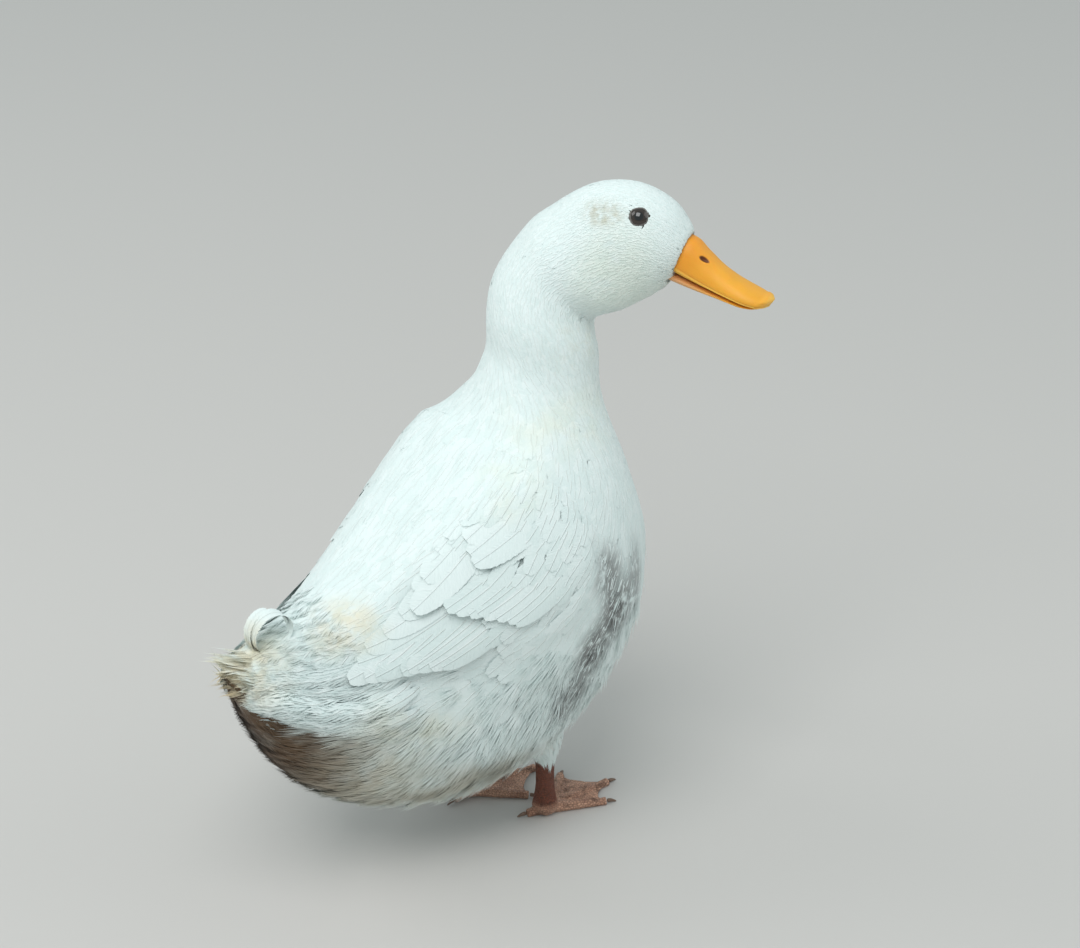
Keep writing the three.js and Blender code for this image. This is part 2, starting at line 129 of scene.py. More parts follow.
# The bill: share of its length, top, bottom and half width in the head's axes.
UPPER_BILL = [
    (-0.22, -6, -27, 10),
    (-0.1, -2.5, -26.5, 11.6),
    (0.03, -0.8, -25.5, 12),
    (0.19, -2.9, -23.8, 11.6),
    (0.38, -4.8, -21, 11.8),
    (0.57, -5.2, -17.8, 12.6),
    (0.76, -4.2, -14.2, 13.4),
    (0.89, -2.8, -11.2, 12.4),
    (0.96, -1.8, -9, 8.5),
    (1, -2.2, -7, 2.5),
]
LOWER_BILL = [
    (-0.22, -27.4, -35, 8.5),
    (-0.06, -27, -33, 10),
    (0.13, -25, -30, 10.2),
    (0.32, -22.4, -26.4, 10.2),
    (0.54, -18.8, -21.6, 10.8),
    (0.76, -14.8, -17, 11.4),
    (0.87, -12.2, -14, 9.6),
    (0.935, -10.8, -12, 5),
]


def bill_rings(rings, level):
    found = []
    for share, top, bottom, half in rings:
        ahead = share * BILL_LENGTH
        found.append((in_head(ahead, top), in_head(ahead, bottom), (half, level, 2.5)))
    return found


def unit(vectors):
    return vectors / np.maximum(np.linalg.norm(vectors, axis=-1, keepdims=True), 1e-12)


def smooth(value, low, high):
    """0 below low, 1 above high, and an easy slope between them."""
    x = np.clip((value - low) / (high - low), 0, 1)
    return x * x * (3 - 2 * x)


def catmull(points, share):
    """A centripetal Catmull-Rom curve through points, read at share, from 0 to 1."""
    p = np.asarray(points, float)
    count = len(p)
    p = np.vstack([2 * p[0] - p[1], p, 2 * p[-1] - p[-2]])
    span = np.clip(share, 0, 1) * (count - 1)
    i = np.minimum(span.astype(int), count - 2)
    w = (span - i)[..., None]
    a, b, c, d = p[i], p[i + 1], p[i + 2], p[i + 3]

    def knot(start, end):
        return np.linalg.norm(end - start, axis=-1, keepdims=True) ** 0.5

    k0, k1, k2 = knot(a, b), knot(b, c), knot(c, d)
    k1 = np.where(k1 < 1e-4, 1, k1)
    k0, k2 = np.where(k0 < 1e-4, k1, k0), np.where(k2 < 1e-4, k1, k2)
    leave = ((b - a) / k0 - (c - a) / (k0 + k1) + (c - b) / k1) * k1
    arrive = ((c - b) / k1 - (d - b) / (k1 + k2) + (d - c) / k2) * k1
    cubic = (2 * b - 2 * c + leave + arrive) * w**3
    return cubic + (3 * c - 3 * b - 2 * leave - arrive) * w**2 + leave * w + b


def loft(rings, along, around):
    """A grid of points, in metres, on the skin through rings: along by around of them."""
    share = np.linspace(0, 1, along)
    top, bottom, shape = (catmull([r[k] for r in rings], share) for k in range(3))
    centre = bottom + (top - bottom) * shape[:, 1:2]
    up = unit(top - bottom)
    tops, bottoms = (np.array([r[k] for r in rings], float) for k in range(2))
    middles = np.pad((tops + bottoms) / 2, ((1, 1), (0, 0)), mode="edge")
    side = catmull(unit(np.cross(tops - bottoms, middles[2:] - middles[:-2])), share)
    side = unit(side - up * np.sum(side * up, -1, keepdims=True))
    angle = np.linspace(0, 2 * np.pi, around, endpoint=False)
    power = 2 / shape[:, 2:3]
    c, s = np.cos(angle)[None], np.sin(angle)[None]
    c, s = np.sign(c) * np.abs(c) ** power, np.sign(s) * np.abs(s) ** power
    above = np.linalg.norm(top - centre, axis=1)[:, None]
    below = np.linalg.norm(bottom - centre, axis=1)[:, None]
    high = (c * np.where(c > 0, above, below))[..., None] * up[:, None]
    wide = (s * shape[:, :1])[..., None] * side[:, None]
    return (centre[:, None] + high + wide - np.array(MIDDLE_MM)) * MM


# The unwrap: its margin, and the body's share of it lengthwise and crosswise. The thighs lie
# above the body, the right one beyond the left one.
UV_MARGIN, UV_LONG, UV_ROUND = 0.02, 0.96, 0.80
THIGH_UV_LONG, THIGH_UV_ROUND, THIGH_UV_APART, THIGH_UV_ABOVE = 0.30, 0.13, 0.4, 0.84


def unwrap(t, angle):
    """The skin's own unwrap: rings along it, and the angle round it from the belly's middle."""
    u = UV_MARGIN + UV_LONG * t / LAST_RING
    v = UV_MARGIN + UV_ROUND * ((angle / (2 * np.pi) + 0.5) % 1)
    return np.stack([u, v], -1)


class Surface:
    """A closed skin whose places are (t, angle): t counts rings, angle runs from the top round
    the left side. Feathers are laid on it, and it can be read anywhere."""

    def __init__(self, points, last, uv=None):
        self.last = last
        self.shape = points.shape[:2]
        self.uv = uv or unwrap
        self.set(points)

    def set(self, points):
        rows, columns = self.shape
        per_t = np.gradient(points, axis=0) * (rows - 1) / self.last
        per_angle = (np.roll(points, -1, 1) - np.roll(points, 1, 1)) * columns / (4 * np.pi)
        normal = unit(np.cross(per_t, per_angle))
        self.grid = np.concatenate([points, normal, per_t, per_angle], axis=-1)

    def raised(self, height):
        """The same surface with height(t, angle) added to it."""
        rows, columns = self.shape
        t = np.linspace(0, self.last, rows)[:, None]
        angle = np.linspace(0, 2 * np.pi, columns, endpoint=False)[None]
        lift = height(t, np.where(angle > np.pi, angle - 2 * np.pi, angle))
        points = self.grid[..., :3] + self.grid[..., 3:6] * lift[..., None]
        return Surface(points, self.last, self.uv)

    def read(self, t, angle):
        """Point, outward normal, and the point's change per ring and per radian."""
        rows, columns = self.shape
        x = np.clip(t / self.last, 0, 1) * (rows - 1)
        y = (angle / (2 * np.pi) % 1) * columns
        i = np.minimum(x.astype(int), rows - 2)
        j = np.floor(y).astype(int)
        u, v = (x - i)[..., None], (y - j)[..., None]
        j, k = j % columns, (j + 1) % columns
        g = self.grid
        near = g[i, j] * (1 - u) + g[i + 1, j] * u
        far = g[i, k] * (1 - u) + g[i + 1, k] * u
        found = near * (1 - v) + far * v
        return found[..., :3], unit(found[..., 3:6]), found[..., 6:9], found[..., 9:12]

    def at(self, t, angle, height=0.0):
        point, normal, _, _ = self.read(np.asarray(t, float), np.asarray(angle, float))
        return point + normal * np.asarray(height, float)[..., None]


# The folded wing swells the body's side, from the wrist (s = 0) to its coverts' ends (s = 1).
WING_FRONT, WING_REAR, WING_DOME_MM = 7.0, 3.3, 8.4
WING_UPPER = (54, 27, 19, 17, 18, 24)
WING_LOWER = (68, 86, 88, 83, 78, 72)
WING_RISE = (0, 0.75, 1, 0.8, 0.5, 0.25)
WING_LEAST_HALF = 22  # degrees
# The lower edge of the wing's feathers, as (ring, degrees from the top).
WING_EDGE = [(2.3, 68), (3.7, 72), (4.35, 68), (5.0, 75), (5.6, 78), (6.2, 78), (6.8, 66)]


def wing_share(t, angle):
    """How far along the wing, and across it from -1 at its upper edge to 1 at its lower one."""
    s = (WING_FRONT - t) / (WING_FRONT - WING_REAR)
    knots = np.linspace(0, 1, len(WING_UPPER))
    upper, lower = np.interp(s, knots, WING_UPPER), np.interp(s, knots, WING_LOWER)
    half = np.maximum((lower - upper) / 2, WING_LEAST_HALF)
    q = (np.abs(np.degrees(angle)) - (upper + lower) / 2) / half
    return s + 0 * q, q


def wing_swell(t, angle):
    s, q = wing_share(t, angle)
    knots = np.linspace(0, 1, len(WING_RISE))
    rise = np.interp(s, knots, WING_RISE) * smooth(1.5 - s, 0, 0.5) * smooth(s, -0.05, 0.12)
    return WING_DOME_MM * MM * rise * smooth(1.12 - np.abs(q), 0, 0.6)


# The white band that divides the tail's upper side from its brown underside: its lower edge,
# as (ring, degrees from the top), from its front to the tail's tip.
BAND = [(3.3, 89), (2.7, 92), (2.1, 96), (1.6, 99), (1.2, 101), (0.75, 118), (0.1, 155)]


def band_edge(t):
    ring, edge = np.array(BAND[::-1]).T
    return np.interp(t, ring, edge)


NECK_FULL_MM, CROWN_FULL_MM, BAND_FULL_MM = 2.4, 1.4, 4.5


def fullness(t, angle):
    """Feathers stand fuller round the neck, on the crown and along the tail's white band."""
    neck = NECK_FULL_MM * smooth(t, 10.2, 11.8) * smooth(t, 15.3, 13.2)
    crown = CROWN_FULL_MM * smooth(np.abs(angle), 1.1, 0.4)
    crown = crown * smooth(t, 14.0, 15.5) * smooth(t, 19.6, 18.4)
    above = band_edge(t) - np.abs(np.degrees(angle))
    ridge = BAND_FULL_MM * smooth(np.abs(above - 8), 15, 2)
    ridge = ridge * smooth(t, 3.6, 2.6) * smooth(t, 0.7, 1.3)
    return wing_swell(t, angle) + (neck + crown + ridge) * MM


BODY_GRID = (841, 540)  # points along the body and round it
SHAPE = Surface(loft(BODY_RINGS, *BODY_GRID), LAST_RING)
BODY = SHAPE.raised(fullness)

# How the plumage changes along the body. Millimetres, at rings from the tail to the bill.
COAT_RINGS = (0, 1, 2.5, 5, 7.5, 9.4, 11, 13, 15, 17, 19, 20.6, 21)
COAT = {
    "depth": (3, 5, 6, 6, 5, 3.6, 2.8, 2.4, 2.1, 1.8, 1.5, 0.9, 0.5),
    "length": (18, 25, 28, 29, 26, 19, 14, 11, 9.5, 7.5, 5.4, 3.4, 2.8),
    "half": (4, 6, 7.2, 7.8, 6.6, 4.9, 3.4, 2.7, 2.3, 1.9, 1.45, 1.0, 0.8),
    "gap": (3.6, 4.6, 5.2, 5.4, 4.8, 3.7, 2.7, 2.2, 1.9, 1.6, 1.25, 0.95, 0.85),
}


def coat(what, t):
    return np.interp(t, COAT_RINGS, COAT[what]) * MM


# ---- shader building


class Value:
    """A shader socket. Arithmetic on it adds Math nodes to its tree."""

    def __init__(self, maker, socket):
        self.maker = maker
        self.socket = socket

    def math(self, operation, *others):
        return self.maker.node("ShaderNodeMath", {"operation": operation}, self, *others)

    def __add__(self, other):
        return self.math("ADD", other)

    __radd__ = __add__

    def __mul__(self, other):
        return self.math("MULTIPLY", other)

    __rmul__ = __mul__

    def __sub__(self, other):
        return self.math("SUBTRACT", other)

    def __rsub__(self, other):
        return self.maker.node("ShaderNodeMath", {"operation": "SUBTRACT"}, other, self)

    def __truediv__(self, other):
        return self.math("DIVIDE", other)

    def __abs__(self):
        return self.math("ABSOLUTE")


class Maker:
    """Builds one material's node tree."""

    def __init__(self, name):
        self.material = bpy.data.materials.new(name)
        self.material.use_nodes = True
        self.tree = self.material.node_tree
        self.tree.nodes.clear()

    def node(self, kind, settings, *values, out=0, **named):
        """Adds a node, sets it up and feeds its sockets. Returns one of its outputs."""
        made = self.tree.nodes.new(kind)
        for key, value in settings.items():
            setattr(made, key, value)
        for key, value in [*enumerate(values), *named.items()]:
            name = key.replace("_", " ") if isinstance(key, str) else key
            self.feed(made.inputs[name], value)
        return Value(self, made.outputs[out])

    def feed(self, socket, value):
        if isinstance(value, Value):
            self.tree.links.new(value.socket, socket)
        elif socket.type == "RGBA" and len(value) == 3:
            socket.default_value = (*value, 1)
        else:
            socket.default_value = value

    def place(self):
        return self.node("ShaderNodeTexCoord", {}, out="Object")

    def attribute(self, name):
        return self.node("ShaderNodeAttribute", {"attribute_name": name}, out="Vector")

    def split(self, vector):
        made = self.node("ShaderNodeSeparateXYZ", {}, vector)
        return [Value(self, output) for output in made.socket.node.outputs]

    def join(self, x, y, z):
        return self.node("ShaderNodeCombineXYZ", {}, x, y, z)

    def vector(self, operation, *values, out=0):
        return self.node("ShaderNodeVectorMath", {"operation": operation}, *values, out=out)

    def mix(self, factor, start, end, blend="MIX"):
        settings = {"data_type": "RGBA", "blend_type": blend}
        made = self.node("ShaderNodeMix", settings, factor, out=2)
        self.feed(made.socket.node.inputs[6], start)
        self.feed(made.socket.node.inputs[7], end)
        return made

    def noise(self, vector, scale, detail, rough):
        return self.node("ShaderNodeTexNoise", {}, Vector=vector, Scale=scale, Detail=detail,
            Roughness=rough)

    def ramp(self, value, low, high):
        """A smooth 0 to 1 between two values."""
        return self.node("ShaderNodeMapRange", {"interpolation_type": "SMOOTHSTEP"}, Value=value,
            **{"From Min": low, "From Max": high})

    def bump(self, height, distance):
        return self.node("ShaderNodeBump", {}, Strength=1.0, Distance=distance, Height=height)

    def finish(self, colour, normal=None, **settings):
        sockets = {"Base Color": colour, **{k.replace("_", " "): v for k, v in settings.items()}}
        if normal is not None:
            sockets["Normal"] = normal
        surface = self.node("ShaderNodeBsdfPrincipled", {}, **sockets)
        output = self.tree.nodes.new("ShaderNodeOutputMaterial")
        self.tree.links.new(surface.socket, output.inputs["Surface"])
        return self.material


# ---- plumage colours and marks


def near(maker, place, centre, radii):
    """1 at a centre, falling to 0 at an ellipsoid with those radii."""
    offset = maker.vector("SUBTRACT", place, centre)
    scaled = maker.vector("DIVIDE", offset, radii)
    return maker.ramp(maker.vector("LENGTH", scaled, out="Value"), 1.0, 0.2)


# Stains, and painted shade under the belly: middle, radii, colour, strength, size of the breaks in
# it and how far they eat in.
STAINS_AND_SHADE = [
    ((-0.105, -0.012, 0.095), (0.085, 0.065, 0.060), (0.62, 0.52, 0.36), 0.75, 26, 0.45),
    ((-0.035, -0.020, 0.070), (0.110, 0.070, 0.045), (0.64, 0.57, 0.44), 0.70, 34, 0.55),
    ((-0.070, -0.045, 0.130), (0.060, 0.040, 0.040), (0.78, 0.70, 0.50), 0.45, 30, 0.7),
    ((-0.165, 0.000, 0.185), (0.045, 0.050, 0.040), (0.78, 0.60, 0.33), 0.55, 60, 0.5),
    ((-0.178, 0.000, 0.166), (0.030, 0.045, 0.018), (0.50, 0.36, 0.18), 0.75, 60, 0.4),
    ((-0.098, -0.018, 0.196), (0.038, 0.032, 0.024), (0.80, 0.66, 0.42), 0.55, 70, 0.6),
    ((0.010, -0.040, 0.266), (0.040, 0.030, 0.030), (0.82, 0.78, 0.52), 0.30, 45, 0.7),
    ((0.062, -0.030, 0.290), (0.065, 0.050, 0.030), (0.84, 0.82, 0.60), 0.30, 40, 0.7),
    ((0.082, -0.020, 0.335), (0.034, 0.030, 0.024), (0.74, 0.74, 0.62), 0.40, 120, 0.8),
    ((0.100, -0.020, 0.418), (0.022, 0.018, 0.011), (0.50, 0.46, 0.34), 0.80, 200, 0.6),
    # painted shade: the hollow between the belly's fluff and the right leg, and the belly's
    # underside beside it
    ((-0.012, -0.052, 0.072), (0.045, 0.030, 0.022), (0.30, 0.27, 0.20), 0.80, 60, 0.4),
    ((-0.062, -0.030, 0.062), (0.060, 0.040, 0.018), (0.36, 0.32, 0.24), 0.70, 50, 0.5),
    ((0.100, -0.035, 0.380), (0.060, 0.034, 0.050), (0.79, 0.83, 0.68), 0.45, 40, 0.3),
]
# Soot on the right side of the breast: middle, radii and strength.
SOOT = [
    ((0.062, -0.075, 0.203), (0.022, 0.030, 0.026), 0.70),
    ((0.070, -0.072, 0.172), (0.026, 0.032, 0.036), 0.92),
    ((0.050, -0.075, 0.148), (0.022, 0.030, 0.034), 0.88),
    ((0.038, -0.070, 0.116), (0.024, 0.028, 0.032), 0.70),
    ((0.092, -0.062, 0.182), (0.018, 0.030, 0.040), 0.60),
]
SOOT_COLOUR = (0.085, 0.080, 0.078)
BROWN = (0.122, 0.058, 0.016)  # under the tail


def marked(maker, white, streak):
    """The plumage's colour with its stains, and with painted shade under the belly, the same on the
    skin and on every feather. streak is where dirt clings, as lines along the feathers."""
    place = maker.place()
    colour = white
    # each entry is a stain, or painted shade under the belly
    for centre, radii, stain_and_shade, strength, size, bite in STAINS_AND_SHADE:
        breaks = maker.ramp(maker.noise(place, size, 4, 0.6), 0.5 * bite, 0.35 + 0.5 * bite)
        mask = near(maker, place, centre, radii) * breaks * strength
        colour = maker.mix(mask, colour, stain_and_shade)
    brown = maker.split(maker.attribute("share"))[2]
    uneven = maker.ramp(maker.noise(place, 45, 4, 0.6), 0.25, 0.55)
    colour = maker.mix(brown * (0.82 + uneven * 0.16), colour, BROWN)
    fine = maker.ramp(streak, 0.37, 0.50)
    coarse = maker.ramp(maker.noise(place, 80, 3, 0.6), 0.28, 0.46)
    for centre, radii, strength in SOOT:
        mask = near(maker, place, centre, radii) * fine * coarse * strength
        colour = maker.mix(mask, colour, SOOT_COLOUR)
    return colour


FINE_BARBS, COARSE_BARBS = 0.00025, 0.0004  # relief of the small and of the large feathers
SHAFT_COLOUR = (0.83, 0.80, 0.72)


def plumage_material(name, barb_depth=FINE_BARBS):
    """Soft vanes: barb lines that sweep from the shaft with painted shade between them, a pale
    shaft and uneven tones.
    """
    colours = bpy.context.scene.drake_plumage
    white, shade = tuple(colours.white), tuple(colours.shade)
    maker = Maker(name)
    across, along, tone = maker.split(maker.attribute("vane"))
    share, edge, _ = maker.split(maker.attribute("share"))
    barb = along - abs(across) * 0.8
    lines = maker.noise(maker.join(barb * 11, across * 1.5, tone * 60), 1.0, 2, 0.6)
    streak = maker.noise(maker.join(across * 7, along * 0.7, tone * 50), 1.0, 3, 0.6)
    colour = marked(maker, white, streak)
    colour = maker.mix(tone * 0.5, colour, maker.mix(1.0, colour, shade, "MULTIPLY"))
    # painted shade: the colour darkens towards the shade colour in the low lines between the barbs
    groove = maker.ramp(lines, 0.62, 0.35) * 0.18
    colour = maker.mix(groove, colour, maker.mix(1.0, colour, shade, "MULTIPLY"))
    shaft = maker.ramp(abs(across), 0.05, 0.01) * (1 - share) * 0.35
    colour = maker.mix(shaft, colour, SHAFT_COLOUR)
    normal = maker.bump(lines + maker.ramp(abs(across), 0.06, 0.0) * 0.8, barb_depth)
    rough = 0.62 + edge * 0.2
    return maker.finish(colour, normal, Roughness=rough, Sheen_Weight=0.15)


# ---- feathers


class Vane:
    """A feather's web as points (s along its shaft, q across it) and triangles. Each of its
    barbs ends in a point of its own beyond the closed web."""

    def __init__(self, barbs, web, sweep, round_at=0.55, blunt=2.4, root=0.35, fringe=0.5):
        steps = np.arange(barbs + 1) / barbs
        middle = (np.arange(barbs) + 0.5) / barbs

        def width(s):
            s = np.clip(s, 0, 1)
            rise = root + (1 - root) * smooth(s, 0, round_at)
            return rise * np.sqrt(np.clip(1 - s**blunt, 0, 1))

        shaft = np.stack([steps, 0 * steps], 1)
        s, q, kind = [shaft[:, 0]], [shaft[:, 1]], [np.zeros(barbs + 1)]
        triangles = []
        for side in (1, -1):
            first = sum(len(x) for x in s)
            last_web = first + barbs
            s += [steps[:-1] + sweep * web * width(steps[:-1])]
            q += [side * web * width(steps[:-1])]
            kind += [np.ones(barbs)]
            s += [middle + sweep * (width(middle) + fringe * (1 - width(middle)))]
            q += [side * np.maximum(width(middle), 0.16 * fringe)]
            kind += [np.full(barbs, 2.0)]
            for b in range(barbs):
                shaft_a, shaft_b = b, b + 1
                web_a = first + b
                web_b = first + b + 1 if b + 1 < barbs else barbs
                found = [(shaft_a, shaft_b, web_b), (shaft_a, web_b, web_a)]
                found.append((web_a, web_b, last_web + b))
                for triangle in found:
                    if len(set(triangle)) == 3:
                        triangles.append(triangle if side > 0 else triangle[::-1])
        self.s, self.q, self.kind = (np.concatenate(x) for x in (s, q, kind))
        self.triangles = np.array(triangles)


class Tuft:
    """A lock of soft strands that fan out from one root, in the same form as a Vane."""

    OUTER_SHORTER, UNEVEN = 0.22, 0.25  # shares of a strand's length
    BOUND = 0.2  # how much of the spread there is at the root
    TIP_SLIMMER = 0.75

    def __init__(self, strands, steps, spread, width):
        random = np.random.default_rng(strands)
        s, q, kind, triangles = [], [], [], []
        for place in np.linspace(-1, 1, strands):
            reach = 1 - self.OUTER_SHORTER * place**2 - self.UNEVEN * random.random()
            along = np.linspace(0, 1, steps + 1)
            middle = place * (self.BOUND + (spread - self.BOUND) * along**1.2)
            middle = middle + 0.25 * width * random.normal() * along
            half = width * (1 - self.TIP_SLIMMER * along)
            first = len(s)
            for step in range(steps):
                s += [along[step] * reach] * 2
                q += [middle[step] - half[step], middle[step] + half[step]]
                kind += [1, 1]
                left, right = first + 2 * step, first + 2 * step + 1
                if step < steps - 1:
                    triangles += [(left, left + 2, right + 2), (left, right + 2, right)]
                else:
                    triangles += [(left, left + 2, right)]
            s.append(reach)
            q.append(middle[-1])
            kind.append(2)
        self.s, self.q, self.kind = np.array(s), np.array(q), np.array(kind)
        self.triangles = np.array(triangles)


class Feathers:
    """Gathers laid feathers, and makes them one mesh object. soft is how far they are lit as
    the surface under them is, from 0 to 1."""

    def __init__(self, name, seed, soft=0.7):
        self.name = name
        self.soft = soft
        self.random = np.random.default_rng(seed)
        self.parts = []
        self.count = 0

    def add(self, points, triangles, uv, vane, share, normal):
        """points is (feathers, points, 3); triangles are of one feather."""
        feathers, each = points.shape[:2]
        starts = self.count + each * np.arange(feathers)
        faces = triangles[None] + starts[:, None, None]
        flat = [x.reshape(-1, x.shape[-1]) for x in (points, uv, vane, share, normal)]
        self.parts.append((flat[0], faces.reshape(-1, 3), *flat[1:]))
        self.count += feathers * each

    def build(self, material, replaces=()):
        points, faces, uv, vane, share, normal = (
            np.concatenate([part[k] for part in self.parts]) for k in range(6)
        )
        a, b, c = (points[faces[:, k]] for k in range(3))
        over = np.sum(np.cross(b - a, c - a) * normal[faces].sum(1), -1) < 0
        faces[over] = faces[over][:, ::-1]
        mesh = bpy.data.meshes.new(self.name)
        mesh.from_pydata(points.tolist(), [], faces.tolist())
        mesh.polygons.foreach_set("use_smooth", np.ones(len(faces), bool))
        layer = mesh.uv_layers.new(name="OFBake")
        layer.uv.foreach_set("vector", uv[faces.ravel()].ravel().astype(np.float32))
        for label, values in (("vane", vane), ("share", share)):
            attribute = mesh.attributes.new(label, "FLOAT_VECTOR", "POINT")
            attribute.data.foreach_set("vector", values.ravel().astype(np.float32))
        own = np.zeros(points.size, np.float32)
        mesh.vertex_normals.foreach_get("vector", own)
        lit = unit(own.reshape(-1, 3) * (1 - self.soft) + normal * self.soft)
        mesh.normals_split_custom_set_from_vertices(lit.tolist())
        mesh.materials.append(material)
        piece = bpy.data.objects.new(self.name, mesh)
        bpy.context.scene.collection.objects.link(piece)
        dressed(piece, replaces)


def dressed(piece, replaces=()):
    """A finished piece rides on the model, and the solid parts that it replaces are hidden."""
    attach(piece, "root")
    if replaces:
        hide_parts(*replaces)


UV_PATCH = 0.0015  # half of a feather's patch on the skin's unwrap
SPLIT_BARB = 0.55  # how far out a barb reaches where the web is split


def soil(uv):
    """How brown the coat is at a place on the unwrap: 1 under the tail, below its white band."""
    t = (uv[..., 0] - UV_MARGIN) / UV_LONG * LAST_RING
    around = np.abs((uv[..., 1] - UV_MARGIN) / UV_ROUND - 0.5) * 360
    below = around - band_edge(t)
    brown = smooth(below, -1, 7) * smooth(t, 3.4, 2.0)
    on_thigh = around > 181
    return np.where(on_thigh, 0, brown)


def webbed(feathers, vane, count, length, half, shape):
    """The places along and across each feather, in metres, with its barbs' ragged ends."""
    random = feathers.random
    each = len(vane.s)
    s = np.broadcast_to(vane.s, (count, each)).copy()
    q = np.broadcast_to(vane.q, (count, each)).copy()
    barb = vane.kind[None] == 2
    reach = 1 - shape.get("ragged", 0.12) * random.random((count, each)) ** 2
    gone = random.random((count, each)) < shape.get("split", 0.0)
    q *= np.where(barb, np.where(gone, SPLIT_BARB, reach), 1)
    s += np.where(barb, shape.get("scatter", 0.03) * (random.random((count, each)) - 0.5), 0)
    bow = shape.get("bow", 0.0) * random.normal(size=(count, 1)) + shape.get("sweep", 0.0)
    return s, q, s * length, q * half + bow * length * s * s


def settle(feathers, surface, vane, t_at, angle_at, height, webs, roots, shape):
    """Puts feathers at their places on a surface and above it. Past the surface's first ring
    they run straight on."""
    s, q = webs[:2]
    count = len(s)
    point, normal, per_t, _ = surface.read(t_at, angle_at)
    rise = height + np.zeros_like(s)
    rise = rise - shape.get("camber", 0.0) * q * q + shape.get("roll", 0.0) * q
    rise = rise + shape.get("lift", 0.0) * feathers.random.random((count, 1)) * s**2
    past = np.minimum(t_at, 0)[..., None]
    points = point + per_t * past + normal * rise[..., None]
    finish_feathers(feathers, vane, points, webs, surface.uv(*roots), normal)


def finish_feathers(feathers, vane, points, webs, root_uv, normal):
    s, q, along, across = webs
    tone = np.broadcast_to(feathers.random.random((len(s), 1)), s.shape)
    patch = np.stack([np.clip(q, -1, 1), np.clip(2 * s - 1, -1, 1)], -1) * UV_PATCH
    feathers.add(points, vane.triangles, root_uv[:, None] + patch,
        np.stack([across * 100, along * 100, tone], -1),
        np.stack([s, np.abs(q), soil(root_uv)[:, None] + 0 * s], -1),
        normal + np.zeros_like(points))


def changes(surface, t, angle, ahead, side, along, across):
    """The change of t and of angle that a move along and across makes at each place."""
    _, _, per_t, per_angle = surface.read(t, angle)
    a, b = np.sum(per_t * ahead, -1), np.sum(per_angle * ahead, -1)
    c, d = np.sum(per_t * side, -1), np.sum(per_angle * side, -1)
    whole = a * d - b * c
    whole = np.where(np.abs(whole) < 1e-9, 1e-9, whole)
    return (along * d - across * b) / whole, (across * a - along * c) / whole


WALK = 4  # steps in which a feather is walked out over the surface from its root
STRIDE = (0.6, 0.5)  # the most rings and radians that one step may cross
STRAYED, STRAYED_MM = 0.3, 0.5  # a feather fits where its points stray less, by share and size
SHORTENED = (0.7, 0.85)  # what length and width are left where a feather doesn't fit a bend
SHORTEST_MM = 3  # it is shortened down to this, then left out
REACH = (0.4, 0.35)  # the most rings and radians from a long feather's shaft to its edge


def lay(feathers, surface, vane, t, angle, heading, size, height, **shape):
    """Lays feathers on a surface with their roots at (t, angle) and their shafts along heading,
    a tangent. size is (length, half width) of each, and height is the shaft's height above the
    surface at the vane's points. Shape: camber, ragged, split, scatter, bow, sweep, lift, roll."""
    count = len(t)
    length, half = (np.broadcast_to(x, count)[:, None] for x in size)
    webs = webbed(feathers, vane, count, length, half, shape)
    s, _, along, across = webs
    root, normal, _, _ = surface.read(t, angle)
    ahead = unit(heading - normal * np.sum(heading * normal, -1, keepdims=True))
    t_at, angle_at = t[:, None] + 0 * along, angle[:, None] + 0 * along
    for _ in range(WALK):
        _, up, _, _ = surface.read(t_at, angle_at)
        on = unit(ahead[:, None] - up * np.sum(ahead[:, None] * up, -1, keepdims=True))
        change = changes(surface, t_at, angle_at, on, np.cross(up, on), along / WALK, across / WALK)
        t_at = t_at + np.clip(change[0], -STRIDE[0], STRIDE[0])
        angle_at = angle_at + np.clip(change[1], -STRIDE[1], STRIDE[1])
    found, _, per_t, _ = surface.read(t_at, angle_at)
    found = found + per_t * np.minimum(t_at, 0)[..., None]
    reach = np.linalg.norm(found - root[:, None], axis=-1)
    strayed = np.abs(reach - np.hypot(along, across)).max(1)
    astray = strayed > STRAYED * length[:, 0] + STRAYED_MM * MM
    near = ~astray
    height = height + np.zeros_like(s)
    settle(feathers, surface, vane, t_at[near], angle_at[near], height[near],
        [x[near] for x in webs], (t[near], angle[near]), pick(shape, near))
    again = astray & (length[:, 0] > SHORTEST_MM * MM)
    if again.any():
        lay(feathers, surface, vane, t[again], angle[again], heading[again],
            (length[again, 0] * SHORTENED[0], half[again, 0] * SHORTENED[1]), height[again],
            **pick(shape, again))


def pick(shape, chosen):
    """The shape options of the chosen feathers only."""
    return {k: v[chosen] if np.ndim(v) else v for k, v in shape.items()}


def lay_between(feathers, surface, vane, start, end, half, height, **shape):
    """Lays long feathers on a surface, each from a start to an end, both (t, angle)."""
    start, end = np.asarray(start, float), np.asarray(end, float)
    count = len(start)
    first, last = surface.at(start[:, 0], start[:, 1]), surface.at(end[:, 0], end[:, 1])
    length = np.linalg.norm(last - first, axis=-1)[:, None]
    half = np.broadcast_to(half, count)[:, None]
    webs = webbed(feathers, vane, count, length, half, shape)
    s, _, _, across = webs
    step = end - start
    t_at = start[:, :1] + step[:, :1] * s
    angle_at = start[:, 1:] + step[:, 1:] * s
    _, normal, per_t, per_angle = surface.read(t_at, angle_at)
    ahead = unit(per_t * step[:, None, :1] + per_angle * step[:, None, 1:])
    side = np.cross(normal, ahead)
    change = changes(surface, t_at, angle_at, ahead, side, 0 * across, across)
    settle(feathers, surface, vane, t_at + np.clip(change[0], -REACH[0], REACH[0]),
        angle_at + np.clip(change[1], -REACH[1], REACH[1]), height, webs,
        (start[:, 0], start[:, 1]), shape)


